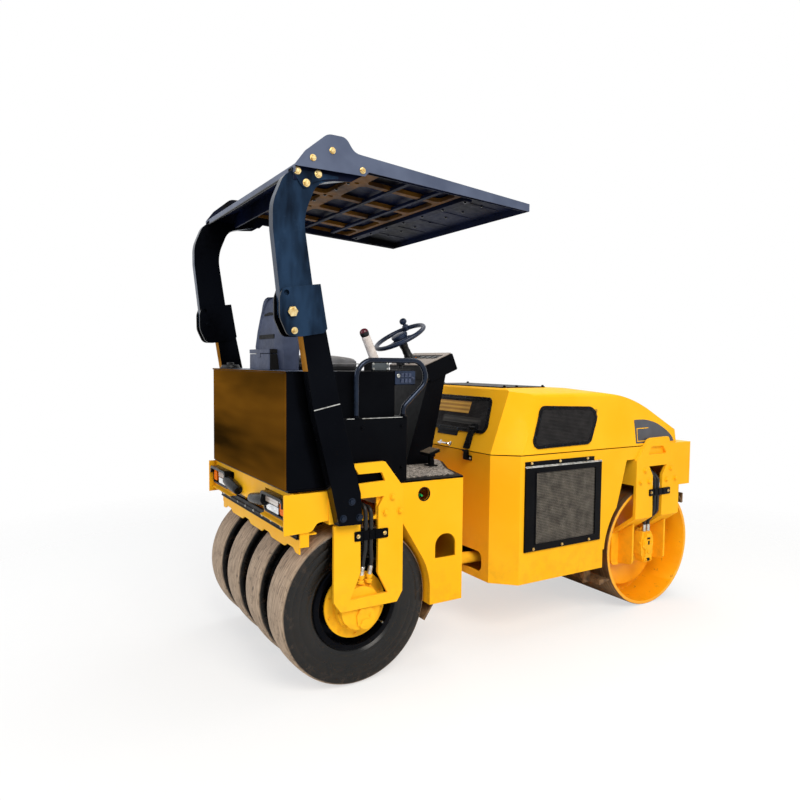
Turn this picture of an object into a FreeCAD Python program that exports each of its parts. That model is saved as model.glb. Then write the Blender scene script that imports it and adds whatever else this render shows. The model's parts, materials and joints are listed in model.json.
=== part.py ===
"""Combination roller: smooth drum in front, four smooth tyres behind, articulated frame.

Millimetres. +X points to the drum, +Y to the driver's left, +Z up. The origin is on the
ground, midway between the rearmost point of the canopy arms and the front of the drum.
"""

import FreeCAD, Part
import Sketcher
import math
import os

os.makedirs("parts", exist_ok=True)
doc = FreeCAD.newDocument("combination_roller")

# ---------------------------------------------------------------- driving dimensions

sizes = {
    # running gear
    "wheelbase": 2220,
    "pivotAhead": 770,
    "tyreRadius": 403,
    "tyreWidth": 212,
    "tyrePitch": 324,
    "rimRadius": 212,
    "rimFlange": 232,
    "wheelHubRadius": 75,
    "driveDiscRadius": 169,
    "motorRadius": 95,
    "stubRadius": 45,
    "drumRadius": 401,
    "drumWidth": 1140,
    "drumWall": 22,
    "drumHubRadius": 90,
    "drumDiscRadius": 317,
    "drumMotorRadius": 70,
    # clearances
    "runningFit": 0.05,
    "seatGap": 0.3,
    "movingGap": 6,
    # rear frame
    "panelOuter": 630,
    "panelThick": 12,
    "panelRear": 176,
    "panelFront": 614,
    "panelTop": 1001,
    "panelBottom": 343,
    "archFront": 407,
    "archRoof": 838,
    "plateWall": 10,
    "forkThick": 20,
    "forkRear": 158,
    "forkFront": 226,
    "forkFoot": 407,
    "bumperRear": 399,
    "bumperTop": 997,
    "bumperBottom": 809,
    "bumperOuter": 622,
    "bumperWall": 10,
    "floorThick": 10,
    "matThick": 6,
    # operator's station
    "tankRear": 380,
    "tankFront": 120,
    "tankHalf": 596,
    "benchTop": 1566,
    "benchFront": 217,
    "benchHalf": 572,
    "ledgeTop": 1337,
    "ledgeFront": 268,
    "ledgeHalf": 612,
    "cushionHalf": 240,
    "cushionTop": 1636,
    "wheelRimRadius": 171,
    "wheelRimTube": 14,
    "steerTilt": 29,
    "dashHalf": 210,
    "railTube": 13,
    # folding canopy
    "armReach": 475,
    "armCentre": 662,
    "armThick": 48,
    "legThick": 60,
    "cheekThick": 11,
    "foldBehind": 394,
    "foldHeight": 1830,
    "foldPin": 14,
    "roofRear": 384,
    "roofRidge": 130,
    "roofFront": 965,
    "roofHalf": 711,
    "roofSheet": 4,
    "roofRearHeight": 2469,
    "roofRidgeHeight": 2552,
    "roofFrontHeight": 2470,
    # front frame and hood
    "shellHalf": 590,
    "shellBevel": 124,
    "shellRear": 159,
    "seamHeight": 1077,
    "shellBottom": 325,
    "shellWall": 10,
    "archGap": 56,
    "drumWellBack": 468,
    "drumForkThick": 20,
    "beamFront": 359,
    "forkRise": 246,
    "beamBottom": 797,
    "beamTop": 1088,
    "hoodHalf": 552,
    "hoodRearTop": 1465,
    "hoodWall": 6,
    "hoodGap": 6,
    "hoodFront": 290,
    "hoodPin": 6,
    # articulation and steering
    "pivotPin": 30,
    "lugThick": 30,
    "rodEyeBehind": 200,
    "rodEyeSide": 240,
    "barrelEyeAhead": 460,
    "barrelEyeSide": 300,
    "cylinderHeight": 430,
    "barrelRadius": 34,
    "rodRadius": 18,
    "eyePin": 13,
}

sheet = doc.addObject("Spreadsheet::Sheet", "Sizes")
for row, (alias, number) in enumerate(sizes.items(), start=1):
    sheet.set("A%d" % row, alias)
    sheet.set("B%d" % row, str(number))
    sheet.setAlias("B%d" % row, alias)
doc.recompute()


class Dim:
    """A number together with the spreadsheet formula that gives it."""

    def __init__(self, value, formula):
        self.value = float(value)
        self.formula = formula

    def __add__(self, other):
        other = dim(other)
        return Dim(self.value + other.value, "(%s + %s)" % (self.formula, other.formula))

    def __sub__(self, other):
        other = dim(other)
        return Dim(self.value - other.value, "(%s - %s)" % (self.formula, other.formula))

    def __mul__(self, other):
        other = dim(other)
        return Dim(self.value * other.value, "(%s * %s)" % (self.formula, other.formula))

    def __truediv__(self, other):
        other = dim(other)
        return Dim(self.value / other.value, "(%s / %s)" % (self.formula, other.formula))

    def __neg__(self):
        return Dim(-self.value, "(0 - %s)" % self.formula)

    def __radd__(self, other):
        return dim(other) + self

    def __rsub__(self, other):
        return dim(other) - self

    def __rmul__(self, other):
        return dim(other) * self


def dim(number):
    """A Dim as it is, or a plain number as a Dim."""
    if isinstance(number, Dim):
        return number
    return Dim(number, "(%r)" % float(number))


class Sheet:
    """Reads each alias of the spreadsheet as a Dim."""

    def __getattr__(self, alias):
        return Dim(sheet.get(alias), "Sizes.%s" % alias)


size = Sheet()

# ---------------------------------------------------------------- modelling helpers

nodes = []
counter = {}


def unique(stem):
    """An internal object name that no other object has."""
    counter[stem] = counter.get(stem, 0) + 1
    return "%s_%d" % (stem, counter[stem])


def node(piece, name):
    """Labels a finished piece, so that its label names the exported file."""
    piece.Label = name
    nodes.append(piece)
    return piece


def body():
    return doc.addObject("PartDesign::Body", unique("Body"))


def sketch_on(owner, plane, offset):
    """A sketch on one of the body's own origin planes, offset along +X, +Y or +Z."""
    sketch = owner.newObject("Sketcher::SketchObject", unique("Sketch"))
    for feature in owner.Origin.OriginFeatures:
        if feature.Role == plane + "_Plane":
            sketch.AttachmentSupport = [(feature, "")]
    sketch.MapMode = "FlatFace"
    along = -dim(offset) if plane == "XZ" else dim(offset)
    sketch.setExpression("AttachmentOffset.Base.z", along.formula)
    return sketch


def bind(sketch, kind, place, dimension):
    """A sketch constraint whose value follows the spreadsheet."""
    index = sketch.addConstraint(Sketcher.Constraint(kind, *place, dimension.value))
    sketch.setExpression("Constraints[%d]" % index, dimension.formula)


def pin_point(sketch, geometry, end, u, v):
    bind(sketch, "DistanceX", (geometry, end), u)
    bind(sketch, "DistanceY", (geometry, end), v)


def corner_data(corners):
    """Corner points as Dims, with the rounding radius of each or None."""
    data = []
    for corner in corners:
        radius = dim(corner[2]) if len(corner) > 2 else None
        data.append((dim(corner[0]), dim(corner[1]), radius))
    return data


def trace(sketch, corners):
    """Draws a closed outline. A corner is (u, v) or, where it is rounded, (u, v, radius)."""
    data = corner_data(corners)
    count = len(data)
    points = [FreeCAD.Vector(u.value, v.value, 0) for u, v, radius in data]
    leave = []
    arrive = []
    arcs = []
    for i in range(count):
        before = (points[i - 1] - points[i]).normalize()
        after = (points[(i + 1) % count] - points[i]).normalize()
        radius = data[i][2]
        if radius is None:
            arrive.append(points[i])
            leave.append(points[i])
            arcs.append(None)
            continue
        half = before.getAngle(after) / 2
        cut = radius.value / math.tan(half)
        centre = points[i] + (before + after).normalize() * (radius.value / math.sin(half))
        arrive.append(points[i] + before * cut)
        leave.append(points[i] + after * cut)
        left_turn = before.cross(after).z < 0
        arcs.append((centre, left_turn))
    first = sketch.GeometryCount
    lines = [Part.LineSegment(leave[i], arrive[(i + 1) % count]) for i in range(count)]
    sketch.addGeometry(lines, False)
    for i in range(count):
        into = first + (i - 1) % count
        out = first + i
        if arcs[i] is None:
            sketch.addConstraint(Sketcher.Constraint("Coincident", into, 2, out, 1))
            pin_point(sketch, out, 1, data[i][0], data[i][1])
            continue
        centre, left_turn = arcs[i]
        start, finish = (arrive[i], leave[i]) if left_turn else (leave[i], arrive[i])
        circle = Part.Circle(centre, FreeCAD.Vector(0, 0, 1), data[i][2].value)
        first_angle = math.atan2(start.y - centre.y, start.x - centre.x)
        last_angle = math.atan2(finish.y - centre.y, finish.x - centre.x)
        arc = sketch.addGeometry(Part.ArcOfCircle(circle, first_angle, last_angle), False)
        point = sketch.addGeometry(Part.Point(points[i]), True)
        near, far = (1, 2) if left_turn else (2, 1)
        sketch.addConstraint([
            Sketcher.Constraint("Tangent", into, 2, arc, near),
            Sketcher.Constraint("Tangent", arc, far, out, 1),
            Sketcher.Constraint("PointOnObject", point, 1, into),
            Sketcher.Constraint("PointOnObject", point, 1, out),
        ])
        pin_point(sketch, point, 1, data[i][0], data[i][1])
        bind(sketch, "Radius", (arc,), data[i][2])


def ring(sketch, u, v, radius):
    """Draws a circle."""
    u, v, radius = dim(u), dim(v), dim(radius)
    centre = FreeCAD.Vector(u.value, v.value, 0)
    circle = Part.Circle(centre, FreeCAD.Vector(0, 0, 1), radius.value)
    index = sketch.addGeometry(circle, False)
    pin_point(sketch, index, 3, u, v)
    bind(sketch, "Radius", (index,), radius)


def pad(owner, sketch, length):
    """Pads a sketch equally to both sides of its plane."""
    feature = owner.newObject("PartDesign::Pad", unique("Pad"))
    feature.Profile = sketch
    feature.SideType = "Symmetric"
    feature.setExpression("Length", dim(length).formula)
    owner.Tip = feature
    return feature


def plate(plane, near, far, outline, holes=()):
    """A plate from an outline on XY, XZ or YZ, between two offsets along the third axis.

    A hole is (u, v, radius) for a circle, or a list of corners.
    """
    near, far = dim(near), dim(far)
    owner = body()
    sketch = sketch_on(owner, plane, (near + far) / 2)
    trace(sketch, outline)
    for hole in holes:
        if isinstance(hole, tuple):
            ring(sketch, *hole)
        else:
            trace(sketch, hole)
    pad(owner, sketch, far - near)
    return owner


def spin(profile, axle_x, axle_z):
    """Revolves a (y, radius) profile about an axle that runs across the machine."""
    owner = body()
    sketch = sketch_on(owner, "YZ", axle_x)
    trace(sketch, [(corner[0], axle_z + dim(corner[1])) + tuple(corner[2:]) for corner in profile])
    span = FreeCAD.Vector(0, axle_z.value, 0)
    axis = sketch.addGeometry(Part.LineSegment(span, span + FreeCAD.Vector(100, 0, 0)), True)
    pin_point(sketch, axis, 1, dim(0), axle_z)
    pin_point(sketch, axis, 2, dim(100), axle_z)
    feature = owner.newObject("PartDesign::Revolution", unique("Revolution"))
    feature.Profile = sketch
    feature.ReferenceAxis = (sketch, ["Axis0"])
    feature.Angle = 360
    owner.Tip = feature
    return owner


def block(low, high):
    """A box between two corners."""
    piece = doc.addObject("Part::Box", unique("Box"))
    for axis, side, a, b in zip("xyz", ("Length", "Width", "Height"), low, high):
        piece.setExpression(side, (dim(b) - dim(a)).formula)
        piece.setExpression("Placement.Base." + axis, dim(a).formula)
    return piece


turns = {
    "x": FreeCAD.Rotation(FreeCAD.Vector(0, 1, 0), 90),
    "y": FreeCAD.Rotation(FreeCAD.Vector(1, 0, 0), -90),
    "z": FreeCAD.Rotation(),
}


def rod(direction, start, length, radius):
    """A round bar along x, y or z from its start point."""
    piece = doc.addObject("Part::Cylinder", unique("Cylinder"))
    piece.Placement = FreeCAD.Placement(FreeCAD.Vector(), turns[direction])
    piece.setExpression("Radius", dim(radius).formula)
    piece.setExpression("Height", dim(length).formula)
    for axis, value in zip("xyz", start):
        piece.setExpression("Placement.Base." + axis, dim(value).formula)
    return piece


def fuse(*pieces):
    joined = doc.addObject("Part::MultiFuse", unique("Fuse"))
    joined.Shapes = list(pieces)
    joined.Refine = True
    return joined


def minus(base, *tools):
    for tool in tools:
        cut = doc.addObject("Part::Cut", unique("Cut"))
        cut.Base = base
        cut.Tool = tool
        base = cut
    return base


def overlap(*pieces):
    common = doc.addObject("Part::MultiCommon", unique("Common"))
    common.Shapes = list(pieces)
    return common


def mirrored(piece):
    """The same piece on the other side of the machine."""
    copy = doc.addObject("Part::Mirroring", unique("Mirror"))
    copy.Source = piece
    copy.Normal = (0, 1, 0)
    return copy


def group(*pieces):
    """Separate solids that share one node."""
    pair = doc.addObject("Part::Compound", unique("Group"))
    pair.Links = list(pieces)
    return pair


def pair(piece):
    return group(piece, mirrored(piece))


def tube_along(points, radius, bend):
    """A tube along straight runs joined by tangent arcs."""
    path = bent_path([FreeCAD.Vector(*[dim(c).value for c in point]) for point in points], bend)
    start = path.Vertexes[0].Point
    heading = path.Edges[0].tangentAt(path.Edges[0].FirstParameter)
    circle = Part.Wire(Part.makeCircle(dim(radius).value, start, heading))
    solid = path.makePipeShell([circle], True, False)
    piece = doc.addObject("Part::Feature", unique("Tube"))
    piece.Shape = solid
    return piece


def bent_path(points, bend):
    """A wire through the points with every corner rounded as far as its runs allow."""
    edges = []
    last = points[0]
    for i in range(1, len(points) - 1):
        before = points[i - 1] - points[i]
        after = points[i + 1] - points[i]
        half = before.getAngle(after) / 2
        room = 0.45 * min(before.Length, after.Length)
        radius = min(dim(bend).value, room * math.tan(half))
        cut = radius / math.tan(half)
        before.normalize()
        after.normalize()
        arrive = points[i] + before * cut
        leave = points[i] + after * cut
        toward = (before + after).normalize()
        middle = points[i] + toward * (radius / math.sin(half) - radius)
        edges.append(Part.LineSegment(last, arrive).toShape())
        edges.append(Part.Arc(arrive, middle, leave).toShape())
        last = leave
    edges.append(Part.LineSegment(last, points[-1]).toShape())
    return Part.Wire(edges)


# ---------------------------------------------------------------- key places

rearAxle = -(size.wheelbase + size.drumRadius - size.armReach) / 2
pivotX = rearAxle + size.pivotAhead
drumAxle = rearAxle + size.wheelbase
tyreAxleZ = size.tyreRadius
drumAxleZ = size.drumRadius
panelInner = size.panelOuter - size.panelThick
rodEyeX = pivotX - size.rodEyeBehind
barrelEyeX = pivotX + size.barrelEyeAhead
forkFace = size.panelOuter + size.forkThick
hoodHingeX = drumAxle + size.hoodFront + 13
hoodHingeZ = size.beamTop + 20
floorTop = size.panelTop + size.floorThick
lampPanelX = rearAxle - size.bumperRear + 44
tailX = lampPanelX + size.bumperWall + size.seatGap
lampIn = dim(256)
lampOut = dim(596)
lampLow = dim(868)
lampHigh = dim(972)
foldX = rearAxle - size.foldBehind
foldZ = size.foldHeight


def back(distance):
    """A place ahead of the rear axle."""
    return rearAxle + distance


def ahead(distance):
    """A place ahead of the drum axle."""
    return drumAxle + distance


# ---------------------------------------------------------------- tyres and wheels


def tyre(centre):
    half = size.tyreWidth / 2
    bead = size.rimRadius + size.seatGap
    seat = half * 0.72
    profile = [
        (centre - seat, bead),
        (centre - seat, size.rimFlange + 6),
        (centre - half, size.rimFlange + 52, 60),
        (centre - half, size.tyreRadius - 14, 26),
        (centre - half * 0.72, size.tyreRadius, 30),
        (centre + half * 0.72, size.tyreRadius, 30),
        (centre + half, size.tyreRadius - 14, 26),
        (centre + half, size.rimFlange + 52, 60),
        (centre + seat, size.rimFlange + 6),
        (centre + seat, bead),
    ]
    return spin(profile, rearAxle, tyreAxleZ)


outer = size.tyrePitch * 1.5
inner = size.tyrePitch / 2
node(tyre(-outer), "right_outer_tyre")
node(tyre(-inner), "right_inner_tyre")
node(tyre(inner), "left_inner_tyre")
node(tyre(outer), "left_outer_tyre")


def rim_pair():
    """Both rims of one side with their discs, on the drum that the motor turns."""
    barrel = size.rimRadius
    lip = size.rimFlange
    edge = size.tyreWidth * 0.36 + 1
    wall = barrel - 10
    disc = 8
    bore = size.stubRadius + size.runningFit
    mouth = outer + 20
    profile = [
        (-outer - edge - 14, wall),
        (-outer - edge - 14, lip, 8),
        (-outer - edge, lip),
        (-outer - edge, barrel),
        (-outer + edge, barrel),
        (-outer + edge, lip),
        (-outer + edge + 10, lip),
        (-outer + edge + 10, wall),
        (-outer + disc, wall),
        (-outer + disc, size.wheelHubRadius),
        (-inner - disc, size.wheelHubRadius),
        (-inner - disc, wall),
        (-inner - edge - 10, wall),
        (-inner - edge - 10, lip),
        (-inner - edge, lip),
        (-inner - edge, barrel),
        (-inner + edge, barrel),
        (-inner + edge, lip),
        (-inner + edge + 10, lip),
        (-inner + edge + 10, wall),
        (-inner + disc, wall),
        (-inner + disc, size.wheelHubRadius - 12),
        (-inner - disc - 6, size.wheelHubRadius - 12),
        (-outer + 70, size.wheelHubRadius - 12),
        (-outer + 70, bore),
        (-mouth, bore),
        (-mouth, size.wheelHubRadius),
        (-outer - disc, size.wheelHubRadius),
        (-outer - disc, wall),
    ]
    return spin(profile, rearAxle, tyreAxleZ)


right_rims = node(rim_pair(), "right_rims")
node(mirrored(right_rims), "left_rims")


def wheel_motor():
    """Drive disc, motor housing and its stub shaft, fixed to the fork."""
    face = size.tyrePitch * 1.5 + 80
    disc = 14
    profile = [
        (-forkFace + size.forkThick, size.motorRadius + 12),
        (-face - 34, size.motorRadius + 12),
        (-face - 34, size.motorRadius + 22, 6),
        (-face, size.motorRadius + 26),
        (-face, size.driveDiscRadius, 3),
        (-face + disc, size.driveDiscRadius, 3),
        (-face + disc, size.motorRadius + 14),
        (-outer - 26, size.motorRadius - 4),
        (-outer - 26, size.stubRadius),
        (-outer + 64, size.stubRadius),
        (-outer + 64, 0),
        (-forkFace + size.forkThick, 0),
    ]
    return spin(profile, rearAxle, tyreAxleZ)


node(pair(wheel_motor()), "wheel_motors")

# ---------------------------------------------------------------- rear frame


def arch_outline(top, front, bottom, wall):
    """Side view of the platform box, with its roof and front wall over the tyres."""
    return [
        (back(-size.panelRear), top),
        (back(front), top),
        (back(front), bottom),
        (back(size.archFront + wall), bottom),
        (back(size.archFront + wall), dim(525), 350 - wall),
        (back(211 + wall), size.archRoof + wall),
        (back(-size.panelRear), size.archRoof + wall),
    ]


def side_panel():
    outline = arch_outline(size.panelTop, size.panelFront, size.panelBottom, dim(0))
    window = [
        (back(438), 585),
        (back(568), 585),
        (back(568), 711, 60),
        (back(438), 711, 60),
    ]
    hose_hole = [
        (back(-12), 852, 16),
        (back(82), 852, 16),
        (back(82), 954, 16),
        (back(-12), 954, 16),
    ]
    holes = [(back(364), 935, 34), window, hose_hole]
    return plate("XZ", -size.panelOuter, -panelInner, outline, holes)


node(pair(side_panel()), "side_panels")


def articulation_lug(low, high, reach):
    """A horizontal lug from the front wall to the pivot, rounded at its tip."""
    half = size.pivotPin * 3
    outline = [
        (back(size.panelFront) - reach, -170),
        (back(size.panelFront), -170),
        (pivotX + half, -half, half * 0.98),
        (pivotX + half, half, half * 0.98),
        (back(size.panelFront), 170),
        (back(size.panelFront) - reach, 170),
    ]
    return plate("XY", low, high, outline)


def rear_frame():
    """Hollow platform box over the tyres, the tail beams, lugs and pivot pin."""
    wall = size.plateWall
    skin = plate(
        "XZ", -panelInner, panelInner,
        arch_outline(size.panelTop, size.panelFront, size.panelBottom, dim(0)),
    )
    hollow_outline = arch_outline(size.panelTop - wall, size.panelFront - wall,
                                  size.panelBottom + wall, wall)
    hollow_outline[0] = (back(-size.panelRear) + wall, size.panelTop - wall)
    hollow_outline[-1] = (back(-size.panelRear) + wall, size.archRoof + wall)
    hollow = plate("XZ", -panelInner - 5, panelInner + 5, hollow_outline)
    tail_half = lampIn - 10
    tail_low = size.archRoof + 12
    tail = block((tailX, -tail_half, tail_low),
                 (back(-size.panelRear), tail_half, size.panelTop))
    tail_space = block((tailX - 10, -tail_half + wall, tail_low - 10),
                       (back(-size.panelRear) - wall, tail_half - wall, size.panelTop - wall))
    lugs = []
    for low in (600, 880):
        lugs.append(articulation_lug(low, low + size.lugThick, size.plateWall))
    pin = rod("z", (pivotX, 0, 590), size.lugThick + 310, size.pivotPin)
    slot = block((back(size.panelFront) - 60, -size.rodEyeSide - 95, size.cylinderHeight - 56),
                 (back(size.panelFront) + 20, -size.rodEyeSide + 95, size.cylinderHeight + 56))
    steer_lug = []
    for low in (size.cylinderHeight + 24, size.cylinderHeight - 38):
        steer_lug.append(plate(
            "XY", low, low + 14,
            [
                (back(size.archFront) + 2, -size.rodEyeSide + 80),
                (back(size.archFront) + 2, -size.rodEyeSide - 80),
                (rodEyeX + 38, -size.rodEyeSide - 36, 34),
                (rodEyeX + 38, -size.rodEyeSide + 36, 34),
            ],
        ))
    box = minus(skin, hollow, slot)
    return fuse(box, minus(tail, tail_space), *lugs, pin, *steer_lug)


node(rear_frame(), "rear_frame")


def rear_fork():
    """Slotted plate with two hooks that carries the wheel motor."""
    outline = [
        (back(-62), 1122, 12),
        (back(119), 1125, 18),
        (back(213), 1006, 30),
        (back(size.forkFront), 985, 10),
        (back(size.forkFront), 459),
        (back(194), size.forkFoot),
        (back(-120), size.forkFoot),
        (back(-size.forkRear), 461),
        (back(-size.forkRear), size.archRoof - 6),
        (back(-16), size.archRoof - 6),
        (back(-14), 587),
        (back(-69), 460),
        (back(138), 464),
        (back(82), 572),
        (back(83), 903),
        (back(115), 951),
        (back(-30), 951),
        (back(-41), 1023),
        (back(120), 1028),
        (back(101), 1071),
        (back(-29), 1070),
    ]
    return plate("XZ", -forkFace, -size.panelOuter, outline)


node(pair(rear_fork()), "rear_forks")

# ---------------------------------------------------------------- rear bumper and lamps



def rear_bumper():
    """Light panel with cut-outs, two side wings and the bolting flanges."""
    gap = size.seatGap
    hole = [
        (lampIn - gap, lampLow - gap),
        (lampOut + gap, lampLow - gap),
        (lampOut + gap, lampHigh + gap),
        (lampIn - gap, lampHigh + gap),
    ]
    wing_inner = size.bumperOuter - size.bumperWall
    outline = [
        (-wing_inner, size.bumperTop),
        (-wing_inner, 838),
        (-250, 838),
        (-225, 868),
        (225, 868),
        (250, 838),
        (wing_inner, 838),
        (wing_inner, size.bumperTop),
    ]
    holes = [hole, [(-y, z) for y, z in reversed(hole)]]
    panel = plate("YZ", lampPanelX, lampPanelX + size.bumperWall, outline, holes)
    wing = plate(
        "XZ", -size.bumperOuter, -size.bumperOuter + size.bumperWall,
        [
            (back(-size.bumperRear), size.bumperTop),
            (back(-size.panelRear), size.bumperTop),
            (back(-size.panelRear), size.bumperBottom + 48),
            (back(-size.panelRear - 55), size.bumperBottom + 44, 30),
            (back(-size.panelRear - 85), size.bumperBottom + 4, 30),
            (back(-size.bumperRear), size.bumperBottom),
        ],
    )
    return fuse(panel, wing, mirrored(wing))


node(rear_bumper(), "rear_bumper")


def tail_lamp():
    """Lamp housing with its hood, and the visor box beside it."""
    face = lampPanelX - 26
    deep = lampPanelX + 40
    housing = block((face, lampIn, lampLow), (deep, lampOut, lampHigh))
    recess = block((face - 1, lampIn + 10, lampLow + 8), (face + 20, lampOut - 10, lampHigh - 10))
    visor = block((face - 30, 60, 872), (lampPanelX - size.seatGap, 245, 912))
    return group(minus(housing, recess), visor)


lamp = tail_lamp()
node(group(lamp, mirrored(lamp)), "tail_lamps")


def rear_scraper():
    """Scalloped carrier plate behind the tyres, with its screwed clamping bar."""
    lowest = 706
    outline = [(-600, 800), (-600, lowest)]
    for centre in (-outer.value, -inner.value, inner.value, outer.value):
        outline.append((centre - 70, lowest, 30))
        outline.append((centre - 40, lowest + 18, 30))
        outline.append((centre + 40, lowest + 18, 30))
        outline.append((centre + 70, lowest, 30))
    outline += [(600, lowest), (600, 800)]
    plate_x = back(-315)
    carrier = plate("YZ", plate_x, plate_x + 8, outline)
    reach = size.bumperOuter - size.bumperWall - size.seatGap
    shelf = block((plate_x, -600, 792), (plate_x + 90, 600, 800))
    hangers = []
    for side in (-1, 1):
        middle = block((plate_x + 8, side * 200 - 6, 796),
                       (plate_x + 70, side * 200 + 6, size.archRoof + 12 - size.seatGap))
        end = block((plate_x, -reach, 740), (plate_x + 46, -reach + 14, 836))
        hangers += [middle, end if side < 0 else mirrored(end)]
    return fuse(carrier, shelf, *hangers)


node(rear_scraper(), "rear_scraper")


def front_scraper():
    """Bent scraper blade in front of the tyres, under the platform box."""
    top = size.panelBottom - size.seatGap
    return plate(
        "XZ", -600, 600,
        [
            (back(386), 262),
            (back(396), 252),
            (back(452), top - 12),
            (back(500), top - 12),
            (back(500), top),
            (back(446), top),
        ],
    )


node(front_scraper(), "front_scraper")

# ---------------------------------------------------------------- operator's station


def floor_plate():
    """Black floor with a nose that covers the articulation."""
    outline = [
        (back(-size.bumperRear + 30), -panelInner + 20),
        (back(size.panelFront), -size.panelOuter),
        (back(size.panelFront + 70), -390, 60),
        (back(size.panelFront + 200), -150, 120),
        (back(size.panelFront + 200), 150, 120),
        (back(size.panelFront + 70), 390, 60),
        (back(size.panelFront), size.panelOuter),
        (back(-size.bumperRear + 30), panelInner - 20),
    ]
    return plate("XY", size.panelTop, floorTop, outline)


node(floor_plate(), "floor_plate")


def floor_mat():
    outline = [
        (back(size.ledgeFront + 14), -560, 20),
        (back(size.panelFront - 20), -580, 20),
        (back(size.panelFront + 50), -380, 60),
        (back(size.panelFront + 186), -140, 110),
        (back(size.panelFront + 186), 140, 110),
        (back(size.panelFront + 50), 380, 60),
        (back(size.panelFront - 20), 580, 20),
        (back(size.ledgeFront + 14), 560, 20),
    ]
    hole = [
        (back(490), -size.dashHalf - 4),
        (back(710), -size.dashHalf - 4),
        (back(710), size.dashHalf + 4),
        (back(490), size.dashHalf + 4),
    ]
    return plate("XY", floorTop, floorTop + size.matThick, outline, [hole])


node(floor_mat(), "floor_mat")


def rear_tank():
    """Glossy tank behind the seat, its top plate a little wider than its walls."""
    owner = plate(
        "XY", floorTop, size.benchTop - 8,
        [
            (back(-size.tankRear), -size.tankHalf + 4, 16),
            (back(-size.tankFront), -size.tankHalf + 4),
            (back(-size.tankFront), size.tankHalf - 4),
            (back(-size.tankRear), size.tankHalf - 4, 16),
        ],
    )
    lid = plate(
        "XY", size.benchTop - 8, size.benchTop,
        [
            (back(-size.tankRear) - 5, -size.tankHalf, 18),
            (back(-size.tankFront), -size.tankHalf),
            (back(-size.tankFront), size.tankHalf),
            (back(-size.tankRear) - 5, size.tankHalf, 18),
        ],
    )
    return fuse(owner, lid)


node(rear_tank(), "rear_tank")


def seat_box():
    """Bench under the seat: a wide lower box, a narrower upper one and the switch box."""
    start = back(-size.tankFront) + 4
    lower = block((start, -size.ledgeHalf, floorTop), (back(size.ledgeFront), size.ledgeHalf,
                                                       size.ledgeTop))
    upper = block((start, -size.benchHalf, size.ledgeTop - 5), (back(size.benchFront),
                                                                size.benchHalf, size.benchTop))
    switch = block((back(size.benchFront) - 5, -size.benchHalf, 1496),
                   (back(size.benchFront) + 122, -size.benchHalf + 165, size.benchTop + 6))
    lever_box = block((back(118), -500, size.benchTop - 2), (back(224), -420, size.benchTop + 48))
    return fuse(lower, upper, switch, lever_box)


node(seat_box(), "seat_box")


def seat_cushion():
    owner = plate(
        "XZ", -size.cushionHalf, size.cushionHalf,
        [
            (back(-150), size.benchTop),
            (back(200), size.benchTop),
            (back(212), size.cushionTop, 28),
            (back(-150), size.cushionTop - 8, 6),
        ],
    )
    return owner


node(seat_cushion(), "seat_cushion")


def seat_back():
    """Moulded back with a lower box behind it."""
    shell = plate(
        "XZ", -235, 235,
        [
            (back(-256), size.benchTop),
            (back(-156), size.benchTop),
            (back(-152), size.cushionTop + 60),
            (back(-176), 1961, 26),
            (back(-226), 1961, 24),
            (back(-264), 1690),
        ],
    )
    front_view = plate(
        "YZ", back(-340), back(-100),
        [
            (-235, size.benchTop),
            (235, size.benchTop),
            (235, 1740, 120),
            (130, 1962, 60),
            (-130, 1962, 60),
            (-235, 1740, 120),
        ],
    )
    plan = plate(
        "XY", size.benchTop, 1970,
        [
            (back(-266), -150),
            (back(-190), -235, 30),
            (back(-150), -235),
            (back(-150), 235),
            (back(-190), 235, 30),
            (back(-266), 150),
        ],
    )
    box = block((back(-299), -163, size.benchTop), (back(-240), 163, 1676))
    return fuse(overlap(shell, front_view, plan), box)


node(seat_back(), "seat_back")


def dash():
    """Narrow leaning pedestal with the tilted dash box on top."""
    pedestal = plate(
        "XZ", -size.dashHalf + 16, size.dashHalf - 16,
        [
            (back(520), floorTop),
            (back(688), floorTop),
            (back(800), 1545),
            (back(672), 1505),
        ],
    )
    box = plate(
        "XZ", -size.dashHalf, size.dashHalf,
        [
            (back(681), 1498, 8),
            (back(875), 1575, 8),
            (back(834), 1671, 8),
            (back(637), 1592, 8),
        ],
    )
    return fuse(pedestal, box)


node(dash(), "dash")

steerX = back(591)
steerZ = dim(1766)


def steering_column():
    """Column tube that rises from the dash to the steering wheel's boss."""
    tilt = math.radians(size.steerTilt.value)
    heading = FreeCAD.Vector(math.sin(tilt), 0, -math.cos(tilt))
    centre = FreeCAD.Vector(steerX.value, 0, steerZ.value)
    top = centre + heading * 42
    column = Part.makeCylinder(22, 200, top, heading)
    shaft = Part.makeCylinder(9, 60, centre + heading * 4, heading)
    piece = doc.addObject("Part::Feature", unique("Column"))
    piece.Shape = column.fuse(shaft).removeSplitter()
    return minus(piece, dash_copy())


def dash_copy():
    """The dash box's volume, which the column's foot is trimmed to."""
    return plate(
        "XZ", -size.dashHalf, size.dashHalf,
        [
            (back(672), 1494),
            (back(875), 1575),
            (back(834), 1671.3),
            (back(637), 1592.3),
        ],
    )


node(steering_column(), "steering_column")


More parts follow.
